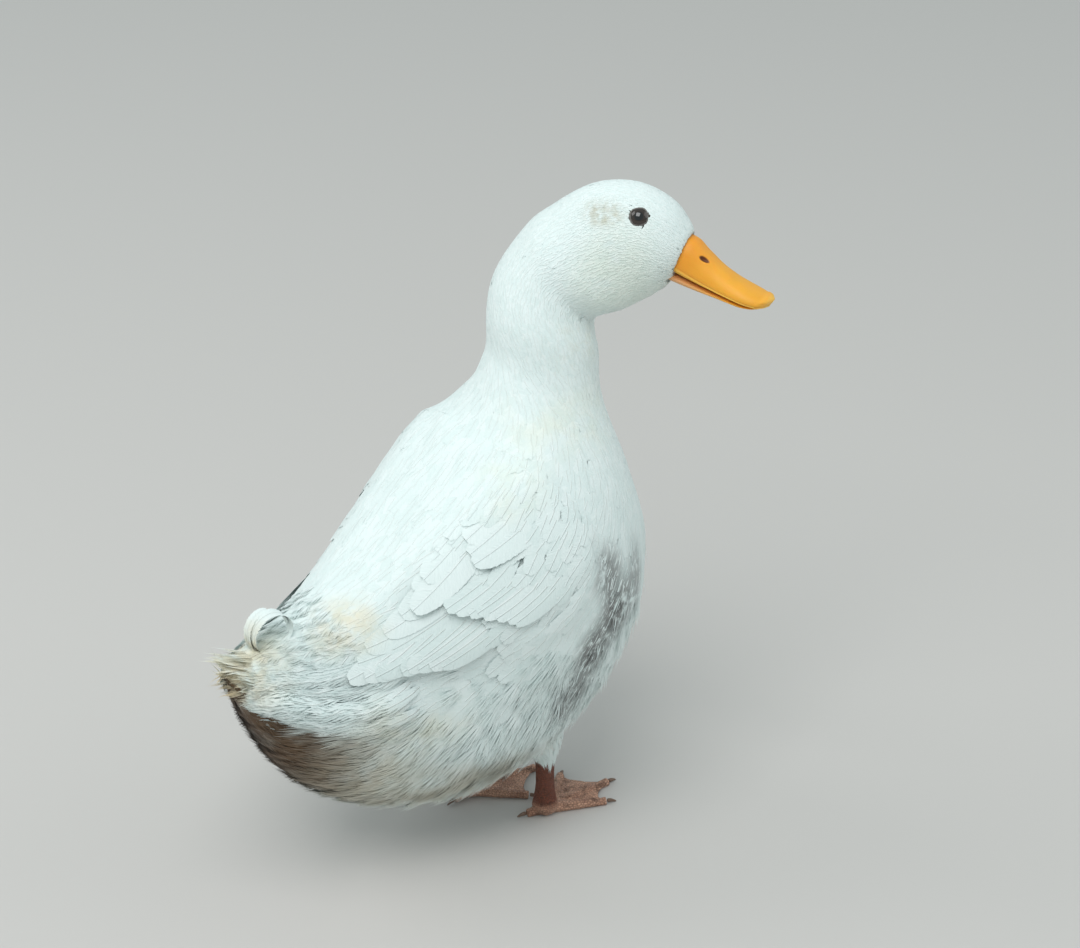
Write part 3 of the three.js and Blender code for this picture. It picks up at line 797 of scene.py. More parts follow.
def lay_free(feathers, vane, line, facing, length, half, roots, **shape):
    """Feathers in the air: line(s) is each one's shaft and facing(s) the way it looks. The
    roots are their places (t, angle) on the body, for the unwrap."""
    count = len(roots[0])
    length = np.broadcast_to(length, count)[:, None]
    half = np.broadcast_to(half, count)[:, None]
    webs = webbed(feathers, vane, count, length, half, shape)
    s, q, _, across = webs
    centre = line(s)
    ahead = unit(line(s + 0.01) - line(s - 0.01))
    side = unit(np.cross(facing(s), ahead))
    up = np.cross(ahead, side)
    rise = -shape.get("camber", 0.0) * q * q + shape.get("roll", 0.0) * q
    points = centre + side * across[..., None] + up * (rise + np.zeros_like(q))[..., None]
    finish_feathers(feathers, vane, points, webs, unwrap(*roots), up)


TRIES = 9  # places tried for each that is wanted
CLOSEST = 0.92  # the share of the gap within which two places are one too many


def scatter(surface, gap, wanted, seed):
    """Evenly scattered places with gap(t, angle) between them, where wanted(t, angle)."""
    random = np.random.default_rng(seed)
    rows, columns = surface.shape
    t = np.linspace(0, surface.last, rows)[:, None] + np.zeros((1, columns))
    angle = np.linspace(0, 2 * np.pi, columns, endpoint=False)[None] + np.zeros((rows, 1))
    angle = np.where(angle > np.pi, angle - 2 * np.pi, angle)
    grid = surface.grid
    area = np.linalg.norm(np.cross(grid[..., 6:9], grid[..., 9:12]), axis=-1)
    cell = surface.last / (rows - 1) * 2 * np.pi / columns
    density = np.where(wanted(t, angle), area * cell / gap(t, angle) ** 2, 0).ravel()
    tries = int(density.sum() * TRIES)
    if tries < 1:
        return np.zeros(0), np.zeros(0)
    picked = random.choice(density.size, tries, p=density / density.sum())
    t = t.ravel()[picked] + (random.random(tries) - 0.5) * surface.last / (rows - 1)
    angle = angle.ravel()[picked] + (random.random(tries) - 0.5) * 2 * np.pi / columns
    t = np.clip(t, 0, surface.last)
    points = surface.at(t, angle)
    tree = KDTree(tries)
    for index, point in enumerate(points):
        tree.insert(point, index)
    tree.balance()
    radius = gap(t, angle) * CLOSEST
    kept, gone = [], np.zeros(tries, bool)
    for index in range(tries):
        if gone[index]:
            continue
        kept.append(index)
        for _, other, _ in tree.find_range(points[index], radius[index]):
            gone[other] = True
    return t[kept], angle[kept]


DOWN = np.array([0.0, 0.0, -1.0])


def lie(surface, t, angle, droop, random, stray=8.0):
    """The way the coat lies at each place: back along the body, drooping by a share."""
    _, normal, per_t, _ = surface.read(t, angle)
    back = unit(-per_t)
    down = DOWN - normal * np.sum(DOWN * normal, -1, keepdims=True)
    heading = unit(back + down * np.broadcast_to(droop, len(t))[:, None])
    side = np.cross(normal, heading)
    swing = np.radians(random.normal(size=len(t)) * stray)[:, None]
    return heading * np.cos(swing) + side * np.sin(swing)


# ---- properties


class DrakePlumage(bpy.types.PropertyGroup):
    white: FloatVectorProperty(name="White", description="Colour of clean feathers",
        subtype="COLOR", default=(0.81, 0.885, 0.87))
    # the tones' colour, and also the colour of the painted shade between the barbs
    shade: FloatVectorProperty(name="Shade", description="Colour that the feathers' tones run to",
        subtype="COLOR", default=(0.84, 0.90, 0.89))
    skin: FloatVectorProperty(name="Skin", description="Colour under the coat", subtype="COLOR",
        default=(0.82, 0.85, 0.83))


class DrakeStage(bpy.types.PropertyGroup):
    lens: FloatProperty(name="Lens", description="Focal length", default=100, unit="CAMERA")
    azimuth: FloatProperty(name="Azimuth", description="Camera's way round the duck, in degrees",
        default=-38)
    elevation: FloatProperty(name="Elevation",
        description="Camera's height above level, in degrees", default=29)
    distance: FloatProperty(name="Distance", description="From the aim to the camera", default=2.0,
        unit="LENGTH")


# ---- skin and coat


def skin_material():
    maker = Maker("skin")
    grain = maker.noise(maker.place(), 900, 3, 0.6)
    colour = marked(maker, tuple(bpy.context.scene.drake_plumage.skin), grain)
    return maker.finish(colour, maker.bump(grain, 0.0004), Roughness=0.8)


def grid_piece(name, surface, rows, columns, height, marked_as_coat=True):
    """A closed tube of quads over a surface, from a grid primitive wrapped round it."""
    bpy.ops.object.select_all(action="DESELECT")
    bpy.ops.mesh.primitive_grid_add(x_subdivisions=rows, y_subdivisions=columns, size=2)
    piece = bpy.context.object
    piece.name = piece.data.name = name
    mesh = piece.data
    co = np.zeros(len(mesh.vertices) * 3)
    mesh.vertices.foreach_get("co", co)
    co = co.reshape(-1, 3)
    t = (co[:, 0] + 1) / 2 * surface.last
    angle = co[:, 1] * np.pi
    points = surface.at(t, angle, height(t, angle))
    for end in (0, surface.last):
        points[np.isclose(t, end)] = points[np.isclose(t, end)].mean(0)
    mesh.vertices.foreach_set("co", points.ravel())
    layer = mesh.uv_layers.active or mesh.uv_layers.new()
    layer.name = "OFBake"
    loops = np.zeros(len(mesh.loops), int)
    mesh.loops.foreach_get("vertex_index", loops)
    at = surface.uv(t, np.clip(angle, -np.pi + 1e-6, np.pi - 1e-6))[loops]
    layer.uv.foreach_set("vector", at.ravel().astype(np.float32))
    if marked_as_coat:
        share = mesh.attributes.new("share", "FLOAT_VECTOR", "POINT")
        brown = soil(surface.uv(t, angle))
        share.data.foreach_set("vector", np.stack([0 * t, 0 * t, brown], -1).ravel())
    bpy.ops.object.mode_set(mode="EDIT")
    bpy.ops.mesh.select_all(action="SELECT")
    bpy.ops.mesh.remove_doubles(threshold=1e-6)
    bpy.ops.mesh.normals_make_consistent(inside=False)
    bpy.ops.object.mode_set(mode="OBJECT")
    bpy.ops.object.shade_smooth()
    return piece


SKIN_GRID, THIGH_SKIN_GRID = (260, 120), (24, 36)
THIGH_COAT_MM = 2.2  # how deep the thigh's skin lies under its coat


def under_coat(t, angle):
    return -coat("depth", t)


def under_thigh_coat(t, angle):
    return -THIGH_COAT_MM * MM + 0 * t


class DRAKE_OT_skin(bpy.types.Operator):
    """One skin over the whole body, under the feathers by the depth of the coat"""

    bl_idname = "drake.skin"
    bl_label = "Skin"

    def execute(self, context):
        piece = grid_piece("skin", BODY, *SKIN_GRID, under_coat)
        thighs = []
        for leg in LEGS.values():
            surface = thigh_surface(leg)
            thighs.append(grid_piece("thigh", surface, *THIGH_SKIN_GRID, under_thigh_coat))
        bpy.ops.object.select_all(action="DESELECT")
        for part in (*thighs, piece):
            part.select_set(True)
        context.view_layer.objects.active = piece
        bpy.ops.object.join()
        piece.data.materials.append(skin_material())
        nodes = ["rump", "trunk", "neck", "head", "thigh_left", "thigh_right"]
        dressed(piece, nodes)
        return {"FINISHED"}


SOFT = Vane(10, web=0.9, sweep=0.14, fringe=0.35)
SMALL = Vane(4, web=0.8, sweep=0.18)
PROUD = 0.07  # the share of sleek feathers whose tips show above their neighbours
PLUME = Tuft(11, 3, spread=1.0, width=0.16)

EYE_BARE_MM = 5.2  # no feather is rooted nearer to the middle of an eye
BILL_CLEAR_MM = 0.5  # nor nearer to the bill than this


def eye_place(sign):
    return BODY.at(EYE_RING, sign * math.radians(EYE_ANGLE))


def off_face_parts(t, angle):
    """Where the head has feathers: not in the eyes' openings, nor inside the bill."""
    points = BODY.at(t, angle)
    clear = np.ones(points.shape[:-1], bool)
    for sign in (1, -1):
        clear &= np.linalg.norm(points - eye_place(sign), axis=-1) > EYE_BARE_MM * MM
    local = (points / MM + np.array(MIDDLE_MM) - np.array(HEAD_AT)) @ HEAD_AXES
    share, right, above = local[..., 0] / BILL_LENGTH, -local[..., 1], local[..., 2]
    for rings, level in ((UPPER_BILL, UPPER_LEVEL), (LOWER_BILL, LOWER_LEVEL)):
        f, top, bottom, half = np.array(rings).T
        top, bottom, half = (np.interp(share, f, x) for x in (top, bottom, half))
        middle = bottom + (top - bottom) * level
        reach = np.where(above > middle, top - middle, middle - bottom) + BILL_CLEAR_MM
        inside = (np.abs(above - middle) / reach) ** 2.5
        inside += (np.abs(right) / (half + BILL_CLEAR_MM)) ** 2.5
        clear &= ~((inside < 1) & (share > -0.3))
    return clear


NEAR_EYE = (0.015, 0.007)  # feathers give way to the eye from here to here
ASIDE, NEAR_EYE_SHORTER = 1.15, 0.45


def round_the_eyes(t, angle, heading, length):
    """Turns the feathers near an eye aside from it, and shortens them."""
    points = BODY.at(t, angle)
    for sign in (1, -1):
        away = points - eye_place(sign)
        distance = np.linalg.norm(away, axis=-1, keepdims=True)
        away = away / np.maximum(distance, 1e-9)
        close = smooth(distance, *NEAR_EYE)
        inward = np.maximum(-np.sum(heading * away, -1, keepdims=True), 0)
        heading = unit(heading + away * inward * close * ASIDE)
        length = length * (1 - NEAR_EYE_SHORTER * close[:, 0])
    return heading, length


def under_wing(t, angle):
    """Where the folded wing covers the coat."""
    s, q = wing_share(t, angle)
    lowest = np.interp(t, *np.array(WING_EDGE).T)
    return (s > 0.12) & (s < 0.95) & (q > -0.6) & (np.abs(np.degrees(angle)) < lowest)


OVER_WING_MM = (3.0, 3.6)  # the coat's rise over the wing's upper edge and its lower front


def over_wing(t, angle):
    """How far the coat is raised to close over the wing's upper edge and its lower front."""
    s, q = wing_share(t, angle)
    upper = smooth(np.abs(q + 1.05), 0.6, 0.15) * smooth(s, -0.1, 0.15) * smooth(s, 1.25, 0.9)
    lower = smooth(np.abs(q - 1.0), 0.5, 0.1) * smooth(s, 0.0, 0.4) * smooth(s, 0.8, 0.55)
    return (OVER_WING_MM[0] * upper + OVER_WING_MM[1] * lower) * MM


OVER_BODY = SHAPE.raised(lambda t, angle: fullness(t, angle) + over_wing(t, angle))


def fluffy(t, angle):
    """1 where the coat is loose: belly, flanks and under the tail; 0 where it is sleek."""
    around = np.abs(np.degrees(angle))
    below = smooth(around, 92, 118) * smooth(t, 8.5, 5.5)
    flank = smooth(around, 74, 98) * smooth(t, 6.4, 5.2)
    return np.maximum(below, flank)


# Each stretch of the coat: name, its rings from rear to front, and a seed.
COAT_STRETCHES = [
    ("coat_face", 17.0, 20.9, 11),
    ("coat_head", 13.5, 17.0, 12),
    ("coat_neck", 9.4, 13.5, 13),
    ("coat_breast", 6.5, 9.4, 14),
    ("coat_middle", 3.4, 6.5, 15),
    ("coat_rear", 0.3, 3.4, 16),
]


def laid_flat(s, depth, sunk):
    """The height of a sleek feather's shaft: its root is under the coat, its middle on top and
    its tip sunk among its neighbours."""
    return -depth * np.clip(1 - s / 0.4, 0, 1) ** 1.5 - sunk * smooth(s, 0.5, 1.1)


HEAD_RING = 15  # a stretch that reaches past this one goes round the eyes and the bill
SMALL_RING = 9  # one that begins past this has small feathers
TIP_SHORTER, TIP_SLIMMER = 0.6, 0.5  # what the feathers at the tail's tip lose
SOFT_LIFT, PLUME_LIFT = 0.0002, 0.0055  # how far their tips stand off at the most
SUNK, PROUD_SUNK = 0.11, 0.02  # how far a tip is sunk, as a share of the coat's depth
FULL_LENGTH = 0.03  # a feather of this length or more stands off fully


def dress_stretch(name, low, high, seed, material):
    feathers = Feathers(name, seed)
    random = feathers.random

    def wanted(t, angle):
        inside = (t >= low) & (t < high)
        if high > HEAD_RING:
            return inside & off_face_parts(t, angle)
        return inside & ~under_wing(t, angle)

    t, angle = scatter(BODY, lambda t, angle: coat("gap", t), wanted, seed)
    loose = fluffy(t, angle) > random.random(len(t))
    droop = fluffy(t, angle) * (0.3 + 0.9 * smooth(t, 2.6, 4.2) * smooth(t, 8.0, 6.0))
    heading = lie(BODY, t, angle, droop, random)
    length = coat("length", t) * (0.85 + 0.3 * random.random(len(t))) * (1 + 0.2 * loose)
    heading, length = round_the_eyes(t, angle, heading, length)
    half = coat("half", t) * (0.92 + 0.3 * random.random(len(t)))
    near_tip = smooth(t, 1.7, 0.4)
    length, half = length * (1 - TIP_SHORTER * near_tip), half * (1 - TIP_SLIMMER * near_tip)
    depth = coat("depth", t)[:, None]
    sleek = SMALL if low > SMALL_RING else SOFT
    for vane, chosen, lift in ((sleek, ~loose, SOFT_LIFT), (PLUME, loose, PLUME_LIFT)):
        if not chosen.any():
            continue
        s, deep = vane.s[None], depth[chosen]
        if vane is PLUME:
            rise = deep * (-0.8 + 0.84 * np.clip(s, 0, 1.1) ** 0.4)
        else:
            proud = random.random((len(deep), 1)) < PROUD
            rise = laid_flat(s, 0.8 * deep, np.where(proud, PROUD_SUNK, SUNK) * deep)
        lay(feathers, OVER_BODY, vane, t[chosen], angle[chosen], heading[chosen],
            (length[chosen], half[chosen]), rise, camber=half[chosen][:, None] * 0.07, ragged=0.2,
            lift=lift * np.clip(length[chosen][:, None] / FULL_LENGTH, 0.2, 1), bow=0.05)
    feathers.build(material)


class DRAKE_OT_coat(bpy.types.Operator):
    """The small feathers of head, neck, breast, back, belly and rump"""

    bl_idname = "drake.coat"
    bl_label = "Coat"

    def execute(self, context):
        material = plumage_material("coat")
        for name, low, high, seed in COAT_STRETCHES:
            dress_stretch(name, low, high, seed, material)
        return {"FINISHED"}


# ---- wings

FLIGHT = Vane(26, web=0.96, sweep=0.06, round_at=0.35, blunt=4.2, root=0.4, fringe=0.04)
COVERT = Vane(16, web=0.95, sweep=0.10, round_at=0.45, blunt=2.8, root=0.45, fringe=0.04)
SCALE = Vane(9, web=0.92, sweep=0.12, round_at=0.5, blunt=2.6, root=0.45, fringe=0.3)

# Rows of the wing's long feathers, lowest first. Each goes evenly from its first feather to its
# last: roots and tips as (ring, degrees), half width and height of the tip, both in mm.
WING_ROWS = [
    # the secondaries' fan, whose tips make the wing's lower edge
    ("flight", 9, ((4.95, 65), (3.9, 45)), ((3.6, 68), (2.28, 62)), (8.5, 9.5), (5.6, 5.4)),
    # greater coverts over their bases
    ("covert", 8, ((6.1, 69), (4.95, 49)), ((4.65, 67), (3.8, 50)), (9, 10), (4.4, 4.2)),
    # the long blades over the fan's upper part
    ("flight", 6, ((4.9, 49), (5.3, 27)), ((2.38, 55), (3.75, 32)), (11, 12.5), (5.0, 1.4)),
    ("flight", 3, ((5.2, 32), (5.6, 22)), ((3.4, 43), (3.95, 29)), (11.5, 13), (6.0, 1.4)),
    # broad feathers over the shoulder
    ("covert", 4, ((6.2, 47), (6.2, 27)), ((4.35, 43), (4.5, 26)), (12, 13), (4.6, 1.4)),
]
WING_ROOT_MM = -4  # how deep the wing feathers' roots are
LEFT_WING_PRESSED = 0.2  # the left wing's feathers lie closer than the right one's
STACKED_MM = 0.2  # how much higher each lies than the one before
PROUD_COVERTS = 0.25  # the share of small coverts whose tips show
COVERT_SUNK_MM = 0.55  # how far the others' tips are sunk


def knots(pair, count, sign):
    """Places from one (ring, degrees) to another, as (t, angle)."""
    share = np.linspace(0, 1, count)[:, None]
    found = np.array(pair[0]) * (1 - share) + np.array(pair[1]) * share
    found[:, 1] = np.radians(found[:, 1]) * sign
    return found


def wing_feathers(feathers, sign):
    random = feathers.random
    kinds = {"flight": FLIGHT, "covert": COVERT}
    for kind, count, roots, tips, half, high in WING_ROWS:
        vane = kinds[kind]
        start, end = knots(roots, count, sign), knots(tips, count, sign)
        end[:, 0] += random.normal(size=count) * 0.04
        end[:, 1] += random.normal(size=count) * 0.012
        top = np.linspace(*high, count)[:, None] + np.arange(count)[:, None] * STACKED_MM
        top = top * (LEFT_WING_PRESSED if sign > 0 else 1)
        rise = (WING_ROOT_MM + (top - WING_ROOT_MM) * np.clip(vane.s, 0, 1.05) ** 0.7) * MM
        width = np.linspace(*half, count) * MM
        lay_between(feathers, BODY, vane, start, end, width, rise, roll=-sign * 1.1 * MM,
            camber=1.5 * MM, ragged=0.03, scatter=0.01, split=0.012)


def wing_coverts(feathers, sign):
    """The small overlapping feathers of the wing's front half and its shoulder."""
    random = feathers.random

    def wanted(t, angle):
        s, q = wing_share(t, angle)
        front = (s > -0.02) & (s < 0.62) & (np.abs(q) < 1.0)
        return front & (np.sign(angle) == sign)

    def gap(t, angle):
        s, _ = wing_share(t, angle)
        return (4.6 + 7.0 * np.clip(s, 0, 0.6)) * MM

    t, angle = scatter(BODY, gap, wanted, 71 if sign > 0 else 72)
    s, _ = wing_share(t, angle)
    length = (15 + 26 * np.clip(s, 0, 0.6)) * MM * (0.9 + 0.2 * random.random(len(t)))
    half = (5 + 5 * np.clip(s, 0, 0.6)) * MM
    heading = lie(BODY, t, angle, 0.12, random, 5)
    proud = random.random((len(t), 1)) < PROUD_COVERTS
    pressed = LEFT_WING_PRESSED if sign > 0 else 1
    rise = laid_flat(SCALE.s[None], 4.0 * MM, np.where(proud, 0.0, COVERT_SUNK_MM * MM))
    rise = rise + 0.9 * MM * pressed
    lay(feathers, BODY, SCALE, t, angle, heading, (length, half),
        rise + 1.4 * MM * pressed * smooth(s, 0.2, 0.5)[:, None] * np.clip(SCALE.s, 0, 1),
        camber=0.7 * MM, ragged=0.08, lift=0.3 * MM)


class DRAKE_OT_wings(bpy.types.Operator):
    """The folded wings: small coverts, the long blades of the shoulder and the secondaries"""

    bl_idname = "drake.wings"
    bl_label = "Wings"

    def execute(self, context):
        material = plumage_material("wing", COARSE_BARBS)
        for name, sign, seed in (("left", 1, 21), ("right", -1, 22)):
            feathers = Feathers("wing_feathers_" + name, seed)
            wing_feathers(feathers, sign)
            wing_coverts(feathers, sign)
            feathers.build(material, ["wing_" + name])
        return {"FINISHED"}


# ---- tail

STIFF = Tuft(8, 6, spread=0.75, width=0.22)
LOCK = Tuft(10, 4, spread=0.9, width=0.2)
FAN_ROOT_MM, FAN_TIP_MM = (-168, 16, 172), (-217, 17, 189)  # x, half width and z
FAN_ARCH = 48  # degrees to each side
# The fans: how many feathers, their length as a scale, how far they are cocked up and their
# half width in mm.
TAIL_FANS = [
    (16, 1.12, -4, 7),
    (12, 1.2, 1, 6),
    (8, 0.95, 6, 5),
    (18, 1.05, -13, 7),
    (16, 1.08, -22, 7),
    (14, 0.85, -32, 7),
]
CURL_AT_MM = (-176, -1, 197)
CURL_RADIUS_MM = 15


def from_solid(points):
    """Millimetres from between the hips, as the outline's rings are, to the frame's metres."""
    return (np.asarray(points, float) - np.array(MIDDLE_MM)) * MM


def tail_fan(feathers, count, scale, lift, half, shape):
    """The tail's stiff feathers: an arched fan, cocked up, whose middle feathers are longest."""
    random = feathers.random
    k = np.linspace(-1, 1, count) + random.normal(size=count) * 0.03
    (x, y, z), (x_tip, y_tip, z_tip) = FAN_ROOT_MM, FAN_TIP_MM
    root = from_solid(np.stack([x + 0 * k, y * k, z + 0.35 * lift - 26 * k * k], -1))
    tip = from_solid(np.stack([x_tip + 12 * k * k, y_tip * k, z_tip + lift - 14 * k * k], -1))
    reach = scale * (1 - 0.22 * k * k) * (0.92 + 0.14 * random.random(count))
    tip = root + (tip - root) * reach[:, None]
    angle = np.radians(FAN_ARCH * k)
    face = unit(np.stack([0.25 + 0 * k, np.sin(angle), np.cos(angle)], -1))

    def line(s):
        s = s[..., None]
        bow = np.array([0, 0, 2.5 * MM]) * s * s
        return root[:, None] * (1 - s) + tip[:, None] * s + bow

    def facing(s):
        return face[:, None] + 0 * s[..., None]

    length = np.linalg.norm(tip - root, axis=-1)
    roots = (np.full(count, 0.3), np.radians(70 * k))
    lay_free(feathers, STIFF, line, facing, length, half * MM, roots, **shape)


def curled(feathers, vane, count, radius, drift, half, turns, spread):
    """The drake's curled feathers: back along the tail's root, then up and over forwards."""
    random = feathers.random
    size = 1 + spread * random.normal(size=(count, 1))
    start, stop = turns
    aside = drift + spread * 20 * random.normal(size=(count, 1))
    swing = 16 * spread * random.normal(size=(count, 1))

    def at(s):
        turned = np.radians(start + (stop - start) * s + swing)
        around = radius * size * (1.08 - 0.36 * s)
        x = CURL_AT_MM[0] - around * np.sin(turned + np.pi / 2)
        z = CURL_AT_MM[2] - around * np.cos(turned + np.pi / 2)
        return from_solid(np.stack([x, CURL_AT_MM[1] + aside * s, z], -1))

    def facing(s):
        centre = from_solid(np.array(CURL_AT_MM))
        toward = centre - at(s)
        toward[..., 1] = 0
        return unit(toward)

    length = np.full(count, radius * MM * abs(np.radians(stop - start)) * 0.9)
    roots = (np.full(count, 0.8), np.linspace(-0.2, 0.2, count))
    lay_free(feathers, vane, at, facing, length, half * MM, roots, camber=0.3 * MM, ragged=0.25,
        scatter=0.03)


CURL = Vane(44, web=0.78, sweep=0.05, round_at=0.12, blunt=7, root=0.6)
WISP = Tuft(5, 10, spread=1.0, width=0.16)
# The curls: kind, how many, size, drift aside, half width, degrees from start to end, unevenness.
CURLS = [
    (CURL, 1, 1, -6, 6, (-125, 215), 0.0),
    (CURL, 2, 0.97, -3, 5, (-125, 170), 0.03),
    (CURL, 2, 1.1, 4, 4.5, (-120, 90), 0.05),
    (WISP, 7, 1.2, 3, 5, (-125, 10), 0.07),
]


BAND_LOCKS = 26
BAND_ROWS = [(2, 5.0), (10, 6.2), (20, 6.4), (31, 5.4)]  # degrees above the edge, height in mm
RUMP_LOCKS = 40  # on each side, spread over the degrees that follow
RUMP_LOCKS_FROM, RUMP_LOCKS_TO = 8, 172


def tail_band(feathers, sign):
    """Long white feathers that sweep from the flank to the tail's tip, over its underside."""
    count = BAND_LOCKS
    path = np.array(BAND)
    place = np.linspace(0, len(path) - 2.9, count)
    for above, rise in BAND_ROWS:
        start, end = (np.stack([np.interp(x, np.arange(len(path)), path[:, k]) for k in (0, 1)],
            -1) for x in (place, place + 1.5))
        start[:, 1] -= above + 7 + feathers.random.normal(size=count) * 2
        end[:, 1] -= above + feathers.random.normal(size=count) * 2
        for ends in (start, end):
            ends[:, 1] = np.radians(ends[:, 1]) * sign
        lift = (-2 + (2 + rise) * np.clip(LOCK.s / 0.7, 0, 1) ** 0.6) * MM
        lay_between(feathers, BODY, LOCK, start, end, 5.4 * MM, lift, camber=1.2 * MM, scatter=0.12,
            bow=0.04)


def tail_locks(feathers, sign):
    """Long locks that run from the rump out over the tail's fan."""
    count = RUMP_LOCKS
    random = feathers.random
    around = np.linspace(RUMP_LOCKS_FROM, RUMP_LOCKS_TO, count) + random.normal(size=count) * 3
    start = np.stack([1.75 - 0.5 * random.random(count), np.radians(around * 0.9) * sign], -1)
    end = np.stack([0.1 - 0.5 * random.random(count), np.radians(around) * sign], -1)
    lift = (-2 + 6 * np.clip(LOCK.s, 0, 1) ** 0.7) * MM
    lay_between(feathers, BODY, LOCK, start, end, 5.2 * MM, lift, camber=1.0 * MM, scatter=0.12,
        bow=0.06)


def tail_coverts(feathers):
    """Soft locks over the tail's root, and the white band along each of its sides."""
    random = feathers.random
    for sign in (1, -1):
        tail_band(feathers, sign)
        tail_locks(feathers, sign)

    def wanted(t, angle):
        return (t > 0.35) & (t < 2.7) & (np.abs(angle) < np.radians(80))

    t, angle = scatter(BODY, lambda t, angle: 5.0 * MM + 0 * t, wanted, 31)
    heading = lie(BODY, t, angle, 0.0, random, 12)
    length = (22 + 12 * random.random(len(t))) * MM
    lay(feathers, BODY, LOCK, t, angle, heading, (length, 4.2 * MM),
        (-3 + 5.5 * np.clip(LOCK.s, 0, 1.05) ** 0.7) * MM, camber=0.4 * MM, scatter=0.1,
        lift=3 * MM, bow=0.1)


class DRAKE_OT_tail(bpy.types.Operator):
    """The tail's fan with its coverts, and the curled feathers over it"""

    bl_idname = "drake.tail"
    bl_label = "Tail"

    def execute(self, context):
        material = plumage_material("tail", COARSE_BARBS)
        fan = Feathers("tail_feathers", 41)
        loose = dict(ragged=0.3, scatter=0.08, camber=1.2 * MM, bow=0.06)
        for count, scale, lift, half in TAIL_FANS:
            tail_fan(fan, count, scale, lift, half, loose)
        fan.build(material, ["tail"])
        coverts = Feathers("tail_coverts", 42)
        tail_coverts(coverts)
        coverts.build(material)
        curls = Feathers("tail_curls", 43)
        for vane, count, scale, drift, half, turns, spread in CURLS:
            curled(curls, vane, count, CURL_RADIUS_MM * scale, drift, half, turns, spread)
        curls.build(material, ["tail_curl"])
        return {"FINISHED"}


# ---- bill

NOSTRIL = (3.05, 38.0)  # ring of the upper bill and degrees from its top
NOSTRIL_MM = (2.9, 1.4)  # half length and half height
NOSTRIL_DEEP_MM, NOSTRIL_LIP_MM, RIM_MM, NAIL_MM, NAIL_GROOVE_MM = 2.3, 0.5, 0.35, 0.45, 0.25
MM_PER_RING, MM_PER_DEGREE = 11.5, 0.2  # on the upper bill, near the nostril
UPPER_LEVEL, LOWER_LEVEL = 0.3, 0.7  # how high up the bill's halves are widest
BILL_GRID, BILL_SKIN_GRID = (361, 360), (180, 128)
LOWER_BILL_COLOUR = (0.62, 0.36, 0.20)
# painted shade in the groove above the upper bill's rim
RIM_GROOVE_SHADE = (0.45, 0.16, 0.012)
BILL_SPECK = (0.35, 0.17, 0.05)


def bill_unwrap(last):
    def uv(t, angle):
        return np.stack([t / last, (angle / (2 * np.pi) + 0.5) % 1], -1)

    return uv


def upper_detail(t, angle):
    """Nostrils, a nail at the tip and a rim along the lower edge, as heights."""
    degrees = np.abs(np.degrees(angle))
    along = (t - NOSTRIL[0]) * MM_PER_RING
    across = (degrees - NOSTRIL[1]) * MM_PER_DEGREE + along * 0.25
    pit = np.exp(-(((along / NOSTRIL_MM[0]) ** 2 + (across / NOSTRIL_MM[1]) ** 2) ** 1.5))
    lip = np.exp(-(((along / NOSTRIL_MM[0]) ** 2 + (across / NOSTRIL_MM[1]) ** 2) / 3.2))
    rim = np.exp(-(((degrees - 112) / 7) ** 2)) - 0.9 * np.exp(-(((degrees - 97) / 6) ** 2))
    nail = smooth(t, 7.0, 7.6) * smooth(degrees, 75, 60)
    groove = smooth(t, 6.6, 7.0) * smooth(t, 7.6, 7.0) * smooth(degrees, 95, 70)
    height = -NOSTRIL_DEEP_MM * pit + NOSTRIL_LIP_MM * lip
    height = height + RIM_MM * rim * smooth(t, 1.5, 2.5) + NAIL_MM * nail
    return (height - NAIL_GROOVE_MM * groove) * MM


def flush(t, angle):
    """No height over the surface."""
    return 0 * (t + angle)


def bill_material(name, lower):
    colours = bpy.context.scene.drake_bill
    base, edge, dark = (tuple(x) for x in (colours.colour, colours.edge, colours.nostril_shade))
    maker = Maker(name)
    uv = maker.node("ShaderNodeUVMap", {"uv_map": "OFBake"})
    along, around, _ = maker.split(uv)
    place = maker.place()
    soft = maker.noise(place, 90, 4, 0.6)
    colour = maker.mix(maker.ramp(soft, 0.3, 0.7) * 0.35, base, tuple(0.86 * x for x in base))
    deep = maker.ramp(along, 0.55, 0.15) * 0.6
    colour = maker.mix(deep, colour, tuple(colours.root))
    colour = maker.mix(maker.ramp(along, 0.78, 0.98) * 0.5, colour, edge)
    top = abs(around - 0.5) * 2
    if lower:
        colour = maker.mix(maker.ramp(along, 0.75, 0.25) * 0.7, colour, LOWER_BILL_COLOUR)
    else:
        rim = maker.ramp(top, 0.54, 0.60) * 0.55
        colour = maker.mix(rim, colour, edge)
        # painted shade: a dark line in the groove above the upper bill's rim
        line = maker.ramp(abs(top - 0.545), 0.014, 0.004) * maker.ramp(along, 0.2, 0.35)
        colour = maker.mix(line * 0.6, colour, RIM_GROOVE_SHADE)
        # painted shade: the nostrils' openings are darkened
        x = (along - NOSTRIL[0] / (len(UPPER_BILL) - 1)) / 0.038
        y = (top - NOSTRIL[1] / 180) / 0.05 + x * 0.5
        pit = maker.ramp(x * x + y * y, 1.25, 0.5)
        colour = maker.mix(pit, colour, dark)
    specks = maker.ramp(maker.noise(place, 700, 2, 0.5), 0.70, 0.78)
    colour = maker.mix(specks * 0.25, colour, BILL_SPECK)
    grain = maker.noise(place, 1300, 3, 0.6)
    lines = maker.noise(maker.join(along * 8, around * 160, 0.0), 1.0, 2, 0.5)
    rough = 0.36 + maker.noise(place, 240, 3, 0.6) * 0.22
    return maker.finish(colour, maker.bump(grain * 0.5 + lines * 0.7, 0.0002), Roughness=rough,
        Subsurface_Weight=0.12, Subsurface_Scale=0.004)


